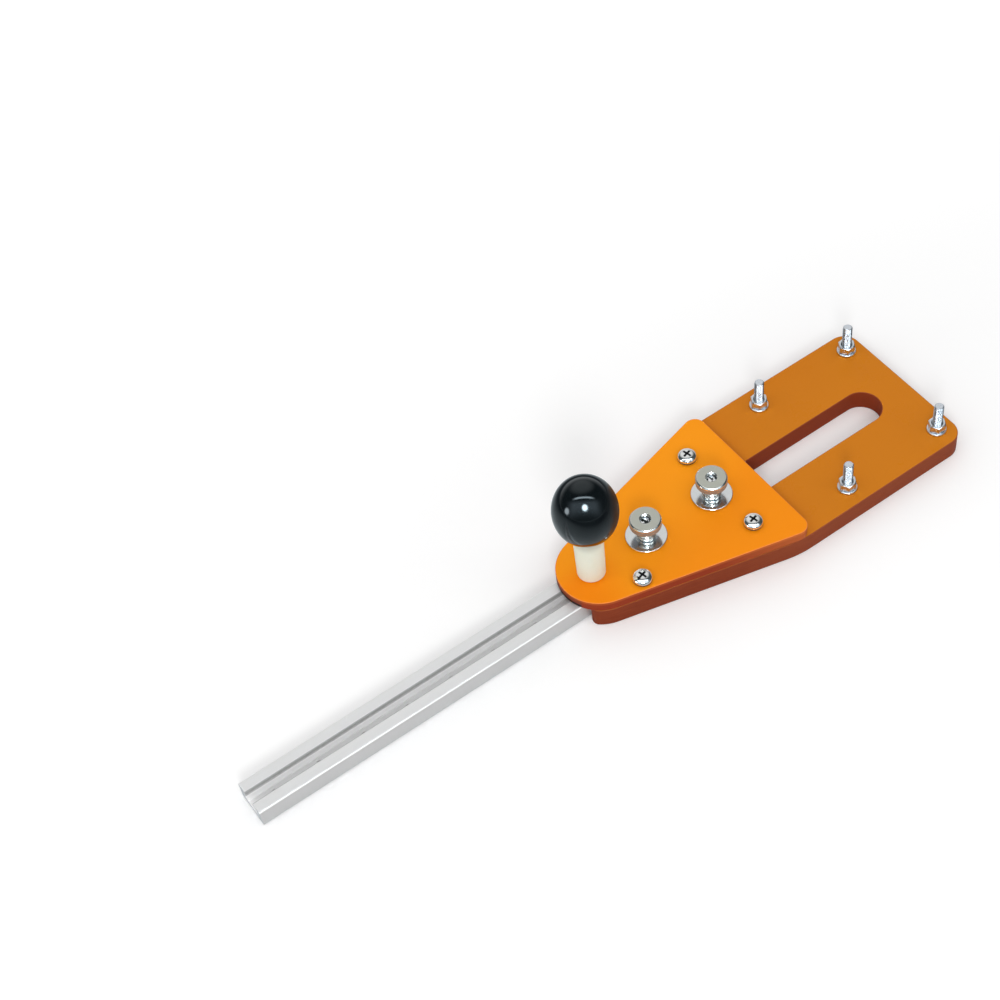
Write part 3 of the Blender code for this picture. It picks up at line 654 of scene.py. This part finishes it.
def zinc_steel():
    """Bright zinc plating, a little blue, with faint warm clouds.

    The clamp bolts' ends are painted near black as shade, with white painted glints.
    """
    material, r, shader = finish("zinc_steel_plated", {"Metallic": 1.0})
    at = r.place()
    _, _, height = r.axes(at)
    _, _, nz = r.facing()
    cloud = r.noise(at, 240, 3, 0.6)
    fine = r.noise(at, 3000, 2)
    warm = r.spread(r.noise(at, 420, 2), 0.50, 0.72)
    colour = r.mix(cloud, (0.66, 0.72, 0.80), (0.80, 0.83, 0.86))
    colour = r.mix(warm * 0.22, colour, (0.84, 0.80, 0.66))
    # Painted shade on the clamp bolts' ends, with white flecks as painted glints
    shaded_bolt_end = r.spread(nz, 0.90, 0.99) * r.spread(height, BOLT_END_LOW, BOLT_END_HIGH)
    painted_glints = r.spread(r.noise(at, 620, 1), 0.52, 0.58)
    colour = r.mix(shaded_bolt_end * (1 - painted_glints), colour, (0.03, 0.035, 0.035))
    colour = r.mix(shaded_bolt_end * painted_glints, colour, grey(1.0))
    rough = 0.20 + cloud * 0.10 + fine * 0.06 + shaded_bolt_end * 0.1
    r.feed(shader, {"Base Color": colour, "Roughness": rough,
                    "Normal": r.bump(fine * (1 + shaded_bolt_end * 3.0), 0.000006)})
    return material


def turned_nylon():
    """Natural nylon, a little translucent, with turning lines, darker and warmer towards its foot.
    """
    material, r, shader = finish("turned_nylon", {
        "Subsurface Weight": 0.35, "Subsurface Scale": 0.004, "Subsurface Radius": (1.0, 0.85, 0.6),
        "Specular IOR Level": 0.4})
    at = r.place()
    _, _, height = r.axes(at)
    cloud = r.noise(at, 90, 3, 0.55)
    fine = r.noise(at, 1600, 2)
    rings = r.noise(r.place(stretch=(90, 90, 1)), 4200, 2)
    # Darker and warmer towards the foot
    foot_tint = r.spread(STEM_TINT_TOP - height, 0.0, 0.004) * (0.4 + cloud)
    shade = r.spread(height, STEM_SHADE_LOW, STEM_SHADE_HIGH)
    colour = r.mix(cloud * 0.7 + fine * 0.3, (0.70, 0.72, 0.60), (0.80, 0.82, 0.71))
    colour = r.mix(shade * 0.90, colour, (0.46, 0.46, 0.39))
    colour = r.mix(foot_tint * 0.25, colour, (0.62, 0.42, 0.22))
    rough = 0.36 + cloud * 0.10 + rings * 0.08
    r.feed(shader, {"Base Color": colour, "Roughness": rough,
                    "Normal": r.bump(rings + fine * 0.4, 0.00002)})
    return material


def polished_resin(centre):
    """Polished black resin with hairlines and faint smears, worn duller on one side."""
    material, r, shader = finish("polished_resin", {
        "Coat Roughness": 0.05, "Coat IOR": 1.35, "Specular IOR Level": 0.35,
        "Specular Tint": (0.84, 0.96, 1.0, 1), "Coat Tint": (0.90, 0.97, 1.0, 1)})
    at = r.place()
    from_axis = r.place((centre[0], centre[1], 0))
    worn = r.spread(r.dot(from_axis, ACROSS), 0.0070, 0.0150)
    smear = r.spread(r.noise(at, 120, 3, 0.6), 0.40, 0.80)
    fine = r.noise(at, 2400, 2)
    hair = r.scratches(0.4, 2200, 40) + r.scratches(2.0, 2500, 30)
    colour = r.mix(smear * 0.5 + fine * 0.2, (0.002, 0.003, 0.004), (0.006, 0.009, 0.010))
    colour = r.mix(hair * 0.10, colour, (0.05, 0.05, 0.055))
    rough = 0.09 + smear * 0.05 + fine * 0.02 + hair * 0.04 + worn * 0.35
    relief = hair * -0.1 + fine * 0.1
    r.feed(shader, {"Base Color": colour, "Roughness": rough,
                    "Coat Weight": (0.6 - smear * 0.3) * (1 - worn),
                    "Normal": r.bump(relief, 0.000008)})
    return material


def turned_brass():
    """Turned brass with tarnish in its rings."""
    material, r, shader = finish("turned_brass", {"Metallic": 1.0})
    at = r.place()
    rings = r.noise(r.place(stretch=(90, 90, 1)), 4200, 2)
    tarnish = r.noise(at, 300, 3)
    colour = r.mix(rings * 0.4 + tarnish * 0.5, (0.84, 0.62, 0.26), (0.60, 0.40, 0.15))
    r.feed(shader, {"Base Color": colour, "Roughness": 0.20 + tarnish * 0.15,
                    "Normal": r.bump(rings, 0.00001)})
    return material


# Pieces


def taper():
    """Angle of the tapered sides, tangent to the nose and to the cover's corners."""
    run = COVER_END_X - NOSE_X - COVER_CORNER_RADIUS - NOSE_RADIUS
    rise = HALF_WIDTH - COVER_CORNER_RADIUS
    narrowing = (NOSE_RADIUS - COVER_CORNER_RADIUS) / math.hypot(run, rise)
    return math.atan2(rise, run) - math.asin(narrowing)


def base_arcs():
    """The fork: far corners, shoulders, nose, rounded tips and the slot."""
    square, lean = math.pi / 2, taper()
    nose_x = NOSE_X + NOSE_RADIUS
    shoulder_y = HALF_WIDTH - SHOULDER_RADIUS
    shoulder_run = (shoulder_y * math.cos(lean) + SHOULDER_RADIUS - NOSE_RADIUS) / math.sin(lean)
    tip_y = SLOT_HALF_WIDTH + FORK_TIP_RADIUS
    tip_run = math.sqrt((NOSE_RADIUS - FORK_TIP_RADIUS) ** 2 - tip_y ** 2)
    tip_angle = math.atan2(tip_y, -tip_run)
    return mirrored([
        ((BASE_END_X - FAR_CORNER_RADIUS, HALF_WIDTH - FAR_CORNER_RADIUS),
         FAR_CORNER_RADIUS, 0, square),
        ((nose_x + shoulder_run, shoulder_y), SHOULDER_RADIUS, square, square + lean),
        ((nose_x, 0), NOSE_RADIUS, square + lean, tip_angle),
        ((nose_x - tip_run, tip_y), FORK_TIP_RADIUS, tip_angle, 3 * square),
        ((SLOT_END_X - SLOT_HALF_WIDTH, 0), SLOT_HALF_WIDTH, square, 0)])


def cover_arcs():
    """The cover: corners at its wide end and the nose."""
    square, lean = math.pi / 2, taper()
    return mirrored([
        ((COVER_END_X - COVER_CORNER_RADIUS, HALF_WIDTH - COVER_CORNER_RADIUS),
         COVER_CORNER_RADIUS, 0, square + lean),
        ((NOSE_X + NOSE_RADIUS, 0), NOSE_RADIUS, square + lean, math.pi)])


def middle_of(node):
    """The x and y of a node's middle."""
    low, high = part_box(node)
    return (low.x + high.x) / 2, (low.y + high.y) / 2


def make_plates():
    """The base plate and the cover plate, with their holes."""
    amber = laminate("amber_laminate", gloss=0.24,
                     face=(0.68, 0.222, 0.013), face_dark=(0.56, 0.165, 0.006),
                     edge=(0.250, 0.045, 0.013), edge_dark=(0.185, 0.028, 0.008),
                     rim=(0.36, 0.095, 0.035), inner=(0.240, 0.024, 0.002),
                     deep=(0.62, 0.200, 0.010))
    orange = laminate("orange_laminate", gloss=0.40,
                      face=(1.00, 0.350, 0.010), face_dark=(0.94, 0.290, 0.005),
                      edge=(0.310, 0.038, 0.008), edge_dark=(0.240, 0.028, 0.007),
                      rim=(1.00, 0.30, 0.06), inner=(0.200, 0.036, 0.014),
                      deep=(0.90, 0.240, 0.003))
    screws = [middle_of(f"cover_screw_{number}") for number in (1, 2, 3, 4)]
    low, high = BASE_LOW.z, BASE_HIGH.z
    holes = [drill(*place, COVER_SCREW_HOLE, low, high) for place in screws]
    holes += [drill(*middle_of(f"machine_screw_{number}"), MACHINE_SCREW_HOLE, low, high,
                    MACHINE_COUNTERSINK) for number in (1, 2, 3, 4)]
    settled("routed", "base_plate",
            machined("DIFFERENCE", sheet(base_arcs(), low, high), joined(holes)), amber)
    low, high = COVER_LOW.z, COVER_HIGH.z
    holes = [drill(*place, COVER_SCREW_HOLE, low, high) for place in screws]
    holes += [drill(*middle_of(f"clamp_bolt_{number}"), CLAMP_HOLE, low, high)
              for number in (1, 2)]
    holes.append(drill(*middle_of("handle_bolt"), HANDLE_BOLT_HOLE, low, high, HANDLE_COUNTERSINK))
    settled("routed", "cover_plate",
            machined("DIFFERENCE", sheet(cover_arcs(), low, high), joined(holes)), orange)


def make_rail():
    """The slotted rail: its section drawn along X, its long edges rounded, its floor drilled."""
    bm = bmesh.new()
    length = RAIL_HIGH.x - RAIL_LOW.x
    half = [(y, z) for y, z, _ in RAIL_SECTION]
    section = half + [(-y, z) for y, z in reversed(half)]
    corners = [bm.verts.new((RAIL_LOW.x, y, RAIL_LOW.z + z)) for y, z in section]
    for pair in zip(corners, corners[1:] + corners[:1]):
        bm.edges.new(pair)
    extruded(bm, (length, 0, 0))
    for y, z, rounding in RAIL_SECTION:
        long_edges = [edge for edge in bm.edges if edge.calc_length() > length - MERGE
                      and all(abs(abs(vert.co.y) - y) < MERGE
                              and abs(vert.co.z - RAIL_LOW.z - z) < MERGE for vert in edge.verts)]
        rounded(bm, long_edges, rounding)
    floor = RAIL_LOW.z + RAIL_CHANNEL_FLOOR
    mouth = PIVOT_HOLE + PIVOT_HOLE_MOUTH
    holes = [moved(turned([(0, RAIL_LOW.z - OVERRUN, 0), (PIVOT_HOLE, RAIL_LOW.z - OVERRUN, 0),
                           (PIVOT_HOLE, floor - PIVOT_HOLE_MOUTH, 0),
                           (mouth, floor, 0), (mouth, floor + OVERRUN, 0),
                           (0, floor + OVERRUN, 0)], 32),
                   (RAIL_LOW.x + (number + 0.5) * PIVOT_HOLE_PITCH, 0, 0))
             for number in range(PIVOT_HOLE_COUNT)]
    settled("drawn", "rail", machined("DIFFERENCE", bm, joined(holes)), drawn_aluminium())


def make_pivot_pin():
    """A headed pin with a blunt point."""
    low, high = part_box("pivot_pin")
    place = middle_of("pivot_pin")
    neck = high.z - PIN_HEAD_HEIGHT
    pin = turned([(0, low.z, 0), (PIN_POINT_RADIUS, low.z, 0.0001),
                  (PIN_RADIUS, low.z + PIN_POINT_LENGTH, 0.0002), (PIN_RADIUS, neck, 0.0001),
                  (PIN_HEAD_RADIUS, neck, 0.0002), (PIN_HEAD_RADIUS, high.z, 0.0003),
                  (0, high.z, 0)], 48)
    settled("ground", "pivot_pin", moved(pin, (*place, 0)),
            bright_steel("ground_pin_steel", place, ringed=0.6))


def make_clamp_bolt(number, zinc):
    """A hexagon bolt under the rail's lips, its thread up through the thumb nut."""
    node = f"clamp_bolt_{number}"
    low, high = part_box(node)
    head_top = low.z + BOLT_HEAD_HEIGHT
    shoulder = low.z + BOLT_PLAIN_LENGTH
    neck = shoulder + BOLT_NECK_LENGTH
    head = turned([(0, low.z, 0), (BOLT_CHAMFER_RADIUS, low.z, 0),
                   (BOLT_HEAD_RADIUS, low.z + BOLT_CHAMFER, 0), (BOLT_HEAD_RADIUS, head_top, 0),
                   (0, head_top, 0)], 72)
    head = machined("INTERSECT", head, hexagon(BOLT_ACROSS_FLATS, low.z - OVERRUN, high.z))
    shank = turned([(0, head_top - OVERLAP, 0), (BOLT_RADIUS, head_top - OVERLAP, 0),
                    (BOLT_RADIUS, shoulder, 0), (BOLT_NECK_RADIUS, neck, 0), (0, neck, 0)], 48)
    bolt = joined([head, shank, thread(BOLT_THREAD_ROOT, BOLT_RADIUS, BOLT_THREAD_PITCH,
                                       shoulder, high.z, 48, BOLT_TIP)])
    settled("threaded", node, moved(bolt, (*middle_of(node), 0)), zinc)


def make_clamp_top(number):
    """The washer and the thumb nut of one clamp."""
    washer, nut = f"clamp_washer_{number}", f"thumb_nut_{number}"
    place = middle_of(washer)
    low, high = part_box(washer)
    ring = turned([(CLAMP_BORE, low.z, 0.00015), (CLAMP_WASHER_RADIUS, low.z, 0.0002),
                   (CLAMP_WASHER_RADIUS, high.z, 0.00045), (CLAMP_BORE, high.z, 0.0002)],
                  128, True)
    settled("pressed", washer, moved(ring, (*place, 0)),
            bright_steel(f"washer_{number}_steel", place, ringed=0.15))
    low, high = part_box(nut)
    foot, top = low.z, high.z
    foot_top, rim_low = foot + NUT_FOOT_HEIGHT, top - NUT_RIM_HEIGHT
    body = turned([(CLAMP_BORE, foot, 0.0001), (NUT_FOOT_RADIUS, foot, 0.0003),
                   (NUT_FOOT_RADIUS, foot_top, 0.0004), (NUT_NECK_RADIUS, foot_top, 0.0002),
                   (NUT_NECK_RADIUS, rim_low - NUT_CONE_HEIGHT, 0.0008),
                   (NUT_CONE_RADIUS, rim_low, 0.0003),
                   (NUT_RIM_RADIUS, rim_low + NUT_RIM_CHAMFER, 0.0002),
                   (NUT_RIM_RADIUS, top - NUT_TOP_CHAMFER, 0.0002),
                   (NUT_TOP_RADIUS, top, 0.00025), (NUT_HOLE_MOUTH, top, 0.0001),
                   (NUT_HOLE_RADIUS, top - 0.0004, 0), (NUT_HOLE_RADIUS, top - 0.0008, 0),
                   (NUT_GROOVE_RADIUS, top - 0.0011, 0), (NUT_HOLE_RADIUS, top - 0.0014, 0),
                   (NUT_HOLE_RADIUS, top - 0.0017, 0), (CLAMP_BORE, top - 0.0019, 0)],
                  4 * KNURL_TEETH, True)
    for vert in body.verts:
        radius = vert.co.xy.length
        if (radius > NUT_RIM_RADIUS - 0.0002
                and rim_low + KNURL_FOOT < vert.co.z < top - KNURL_TOP):
            phase = math.atan2(vert.co.y, vert.co.x) * KNURL_TEETH
            vert.co.xy *= (radius - KNURL_DEPTH * (1 - math.cos(phase)) / 2) / radius

    # Painted shade in the bore below the top, on the lower part of the knurled rim and on the cone
    # under the rim
    def painted_shade_at(r, out, height):
        bore = r.spread(0.0030 - out, 0.0, 0.0002) * r.spread(top - height, 0.0010, 0.0016)
        wall = r.spread(out, 0.00765, 0.00775) * r.spread(top - 0.0010 - height, 0.0, 0.0006)
        cone = r.spread(out, 0.0043, 0.0046) * r.spread(rim_low + 0.0004 - height, 0.0, 0.0004)
        cone = cone * r.spread(height, rim_low - 0.0030, rim_low - 0.0025)
        return bore + wall * 0.62 + cone * 0.45

    settled("knurled", nut, moved(body, (*place, 0)),
            bright_steel(f"nut_{number}_steel", place, ringed=1.0, tone=(0.84, 0.84, 0.79),
                         dull=(0.60, 0.61, 0.56), faced=(0.56, 0.57, 0.50), gloss=0.16, painted_shade_at=painted_shade_at))


def make_cover_screw(number):
    """A pan head screw with a cross recess and a thread."""
    node = f"cover_screw_{number}"
    low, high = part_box(node)
    seat = high.z - PAN_DOME - PAN_WALL
    neck = seat - PAN_NECK
    profile = [(0, neck, 0), (SCREW_RADIUS, neck, 0), (SCREW_RADIUS, seat, 0),
               (PAN_EDGE_RADIUS, seat, 0), (PAN_RADIUS, seat + PAN_EDGE, 0.0002),
               (PAN_RADIUS, seat + PAN_WALL, 0)]
    rows = 16
    for row in range(1, rows):
        angle = math.pi / 2 * row / rows
        profile.append((PAN_RADIUS * math.cos(angle) ** 0.75,
                        seat + PAN_WALL + PAN_DOME * math.sin(angle) ** 0.95, 0))
    head = turned(profile + [(0, high.z, 0)], 96)
    punch = cross_punch(*PAN_CROSS)
    bmesh.ops.rotate(punch, verts=punch.verts, matrix=Matrix.Rotation(PAN_CROSS_TURN, 3, "Z"))
    moved(punch, (0, 0, high.z))
    screw = joined([machined("DIFFERENCE", head, punch),
                    thread(SCREW_THREAD_ROOT, SCREW_RADIUS, SCREW_THREAD_PITCH, low.z,
                           neck + OVERLAP)])
    place = middle_of(node)

    # Painted shade in the cross recess and around the lower rim of the pan head
    def painted_shade_at(r, out, height):
        dome = high.z - out * out * out * PAN_FALL
        recess = r.spread(dome - height, 0.00008, 0.00030) * r.spread(0.0034 - out, 0.0, 0.0002)
        rim = r.spread(seat + 0.0014 - height, 0.0, 0.0006)
        return recess.larger(rim)

    settled("pan_head", node, moved(screw, (*place, 0)),
            bright_steel(f"screw_{number}_steel", place, ringed=0.2, tone=(0.93, 0.94, 0.93),
                         dull=(0.72, 0.75, 0.74), faced=(0.90, 0.92, 0.91), gloss=0.07,
                         painted_shade_at=painted_shade_at))


def make_machine_screw(number, zinc):
    """A countersunk screw up through the base plate."""
    node = f"machine_screw_{number}"
    low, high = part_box(node)
    head_top = low.z + SUNK_HEAD_HEIGHT
    neck = head_top + SUNK_NECK
    head = turned([(0, low.z, 0), (SUNK_HEAD_RADIUS, low.z, 0),
                   (SUNK_HEAD_RADIUS, low.z + SUNK_HEAD_EDGE, 0), (SCREW_RADIUS, head_top, 0),
                   (SCREW_RADIUS, neck + OVERLAP, 0), (0, neck + OVERLAP, 0)], 64)
    punch = cross_punch(*SUNK_CROSS)
    bmesh.ops.rotate(punch, verts=punch.verts, matrix=Matrix.Rotation(math.pi, 3, "X"))
    screw = joined([machined("DIFFERENCE", head, moved(punch, (0, 0, low.z))),
                    thread(SCREW_THREAD_ROOT, SCREW_RADIUS, SCREW_THREAD_PITCH, neck, high.z,
                           36, SCREW_TIP)])
    settled("threaded", node, moved(screw, (*middle_of(node), 0)), zinc)


def make_machine_nut(number, zinc):
    """A washer and a chamfered hexagon nut on the base plate."""
    washer, nut = f"machine_washer_{number}", f"machine_nut_{number}"
    place = (*middle_of(washer), 0)
    low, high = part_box(washer)
    ring = turned([(MACHINE_BORE, low.z, 0.0001), (MACHINE_WASHER_RADIUS, low.z, 0.00015),
                   (MACHINE_WASHER_RADIUS, high.z, 0.0003), (MACHINE_BORE, high.z, 0.00015)],
                  72, True)
    settled("pressed", washer, moved(ring, place), zinc)
    low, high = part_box(nut)
    body = turned([(MACHINE_BORE, low.z + MACHINE_NUT_MOUTH, 0),
                   (MACHINE_NUT_MOUTH_RADIUS, low.z, 0), (MACHINE_NUT_FACE_RADIUS, low.z, 0),
                   (MACHINE_NUT_RADIUS, low.z + MACHINE_NUT_CHAMFER, 0),
                   (MACHINE_NUT_RADIUS, high.z - MACHINE_NUT_CHAMFER, 0),
                   (MACHINE_NUT_FACE_RADIUS, high.z, 0), (MACHINE_NUT_MOUTH_RADIUS, high.z, 0),
                   (MACHINE_BORE, high.z - MACHINE_NUT_MOUTH, 0)], 72, True)
    milled = machined("INTERSECT", body, hexagon(MACHINE_NUT_ACROSS_FLATS, low.z - OVERRUN,
                                                 high.z + OVERRUN))
    settled("chamfered", nut, moved(milled, place), zinc, sharp=25)


def make_handle():
    """The nylon stem and the ball."""
    place = middle_of("handle_stem")
    low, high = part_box("handle_stem")
    stem = turned([(STEM_BORE, low.z, 0.0002), (STEM_FOOT_RADIUS, low.z, 0.0009),
                   (STEM_TOP_RADIUS, high.z, 0.0006), (STEM_BORE, high.z, 0.0002)], 96, True)
    settled("turned", "handle_stem", moved(stem, (*place, 0)), turned_nylon())
    low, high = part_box("ball_knob")
    rise = math.sqrt(1 - (BALL_SEAT_RADIUS / BALL_RADIUS) ** 2)
    half_length = (high.z - low.z) / (1 + rise)
    lowest = -math.asin(rise)
    bore_top = low.z + BALL_BORE_DEPTH
    profile = [(0, bore_top, 0), (BALL_BORE_RADIUS, bore_top, 0), (BALL_BORE_RADIUS, low.z, 0.0002)]
    for row in range(BALL_ROWS):
        angle = lowest + (math.pi / 2 - lowest) * row / BALL_ROWS
        profile.append((BALL_RADIUS * math.cos(angle),
                        low.z + half_length * (rise + math.sin(angle)), 0 if row else 0.0003))
    ball = turned(profile + [(0, high.z, 0)], 128)
    settled("moulded", "ball_knob", moved(ball, (*place, 0)), polished_resin(place))


def make_pieces():
    """Every piece, and finishes for the two nodes that stay as they are."""
    zinc = zinc_steel()
    make_plates()
    make_rail()
    make_pivot_pin()
    for number in (1, 2):
        make_clamp_bolt(number, zinc)
        make_clamp_top(number)
    for number in (1, 2, 3, 4):
        make_cover_screw(number)
        make_machine_screw(number, zinc)
        make_machine_nut(number, zinc)
    make_handle()
    frame["nodes"]["handle_bolt"].material_slots[0].material = zinc
    frame["nodes"]["ball_insert"].material_slots[0].material = turned_brass()


# Studio

FLOOR_SIZE = 6
FLOOR_DROP = 0.0001

CAMERA_EYE = Vector((-0.28459, -0.46261, 0.78377))
CAMERA_RIGHT = Vector((0.81852674, -0.56599168, -0.0983229))
CAMERA_UP = Vector((0.50083383, 0.61924357, 0.60473372))
CAMERA_BACK = Vector((-0.28138843, -0.54423416, 0.7903352))
CAMERA_LENS = 69.21

# Directions of the lamps
MAIN_LAMP = Vector((-0.3955, -0.6621, 0.6470)).normalized()
SIDE_LAMP = Vector((-0.859, 0.265, 0.186))
OVERHEAD_LAMP = Vector((-0.087, -0.188, 0.978))

# Directions and colours of the studio that polished pieces show
WINDOW = Vector((0.281, 0.544, 0.790))
STRIP = Vector((-0.112, -0.224, 0.944))
SECOND_LAMP = Vector((-0.8915, 0.1587, 0.1288)).normalized()
DARK_ROOM = (0.06, 0.075, 0.08)
WALL_GLOW = (0.95, 1.08, 1.20)
STRIP_GLOW = (7.0, 7.7, 8.2)
MAIN_GLOW = (30.0, 34.0, 36.0)
SECOND_GLOW = (7.0, 7.3, 7.6)
PLAIN_LIGHT = 0.77


def make_floor():
    """The pale floor, a little brighter to the camera and darker to polished pieces."""
    bm = bmesh.new()
    bmesh.ops.create_grid(bm, x_segments=8, y_segments=8, size=FLOOR_SIZE)
    material, r, shader = finish("pale_floor", {"Roughness": 0.9, "Specular IOR Level": 0.0,
                                                "Emission Strength": 1.0})
    seen = r.add("ShaderNodeLightPath", {}, {}, "Is Camera Ray")
    along, across, _ = r.axes(r.place())
    away = (along * along * 0.16 + across * across).root()
    glow = seen * (0.10 + 0.35 * r.spread(away, 0.07, 0.45))
    tone = r.mix(r.noise(r.place(), 2.0), grey(0.91), grey(0.93))
    reflected = r.add("ShaderNodeLightPath", {}, {}, "Is Glossy Ray")
    dim = r.mix(r.spread(away, 0.02, 0.32), (0.55, 0.60, 0.62), (0.07, 0.08, 0.09))
    dim = r.mix(r.spread(away, 0.60, 2.00), dim, (0.45, 0.48, 0.50))
    tone = r.mix(reflected, tone, dim)
    r.feed(shader, {"Base Color": tone, "Emission Color": r.mix(glow, grey(0.0), grey(1.0))})
    linked("floor", moved(bm, (0, 0, -FLOOR_DROP)), material)


def lamp(name, towards, distance, size, power, length=None):
    """A soft lamp that faces the jig from a direction."""
    light = bpy.data.lights.new(name, "AREA")
    light.energy = power
    light.shape = "RECTANGLE" if length else "DISK"
    light.size = size
    light.size_y = length or size
    item = bpy.data.objects.new(name, light)
    bpy.context.scene.collection.objects.link(item)
    direction = towards.normalized()
    item.location = direction * distance
    item.rotation_euler = direction.to_track_quat("Z", "Y").to_euler()
    return item


def make_lamps():
    """Three lamps that polished pieces don't show."""
    key = lamp("key_lamp", MAIN_LAMP, distance=1.2, size=0.30, power=3.2)
    side = lamp("side_lamp", SIDE_LAMP, distance=1.5, size=0.30, power=1.2)
    overhead = lamp("overhead_strip", OVERHEAD_LAMP, distance=1.5, size=0.12, power=3.0,
                    length=3.2)
    for item in (key, side, overhead):
        item.visible_glossy = False
    facing = overhead.location.normalized()
    across = (ACROSS - facing * ACROSS.dot(facing)).normalized()
    turn = Matrix((facing.cross(across) * -1, across, facing)).transposed()
    overhead.rotation_euler = turn.to_euler()


def make_world():
    """Even light and a white background, and the studio that polished pieces show."""
    world = bpy.data.worlds.new("studio")
    world.use_nodes = True
    bpy.context.scene.world = world
    r = Recipe(world.node_tree)
    direction = r.add("ShaderNodeTexCoord", {}, {}, "Generated")
    behind = r.spread(0 - r.dot(direction, CAMERA_BACK), 0.02, 0.60)
    window = r.spread(r.dot(direction, WINDOW), 0.70, 0.96) * 0.75
    room = r.mix(behind.larger(window), DARK_ROOM, grey(1.0))
    climb = r.dot(direction, CAMERA_BACK.cross(ACROSS).normalized())
    before = r.spread(r.dot(direction, CAMERA_BACK), -0.05, 0.15)
    beside = abs(r.dot(direction, ACROSS))
    wall = (r.spread(climb, -0.75, -0.15) * (1 - r.spread(climb, -0.02, 0.30))
            * (1 - r.spread(beside, 0.62, 0.985)) * before)
    room = r.mix(wall, room, WALL_GLOW)
    off_strip = abs(r.dot(direction, STRIP.cross(ACROSS).normalized()))
    strip = ((1 - r.spread(off_strip, 0.030, 0.070))
             * (1 - r.spread(beside, 0.40, 0.74)) * before)
    room = r.mix(strip, room, STRIP_GLOW)
    room = r.mix(r.spread(r.dot(direction, MAIN_LAMP), 0.975, 0.995), room, MAIN_GLOW)
    room = r.mix(r.spread(r.dot(direction, SECOND_LAMP), 0.982, 0.997), room, SECOND_GLOW)
    glossy = (r.add("ShaderNodeLightPath", {}, {}, "Is Glossy Ray")
              + r.add("ShaderNodeLightPath", {}, {}, "Is Transmission Ray"))
    light = r.mix(glossy, grey(PLAIN_LIGHT), room)
    shown = r.mix(r.add("ShaderNodeLightPath", {}, {}, "Is Camera Ray"), light, grey(1.0))
    r.feed(world.node_tree.nodes["Background"], {"Color": shown})


def make_camera():
    """The camera of the photograph."""
    data = bpy.data.cameras.new("camera")
    data.lens = CAMERA_LENS
    data.sensor_width = 36
    data.clip_start = 0.05
    data.clip_end = 50
    item = bpy.data.objects.new("camera", data)
    bpy.context.scene.collection.objects.link(item)
    item.matrix_world = Matrix((CAMERA_RIGHT, CAMERA_UP, CAMERA_BACK)).transposed().to_4x4()
    item.location = CAMERA_EYE
    bpy.context.scene.camera = item


make_camera()
make_pieces()
make_floor()
make_lamps()
make_world()
bpy.context.scene.view_settings.view_transform = "Standard"
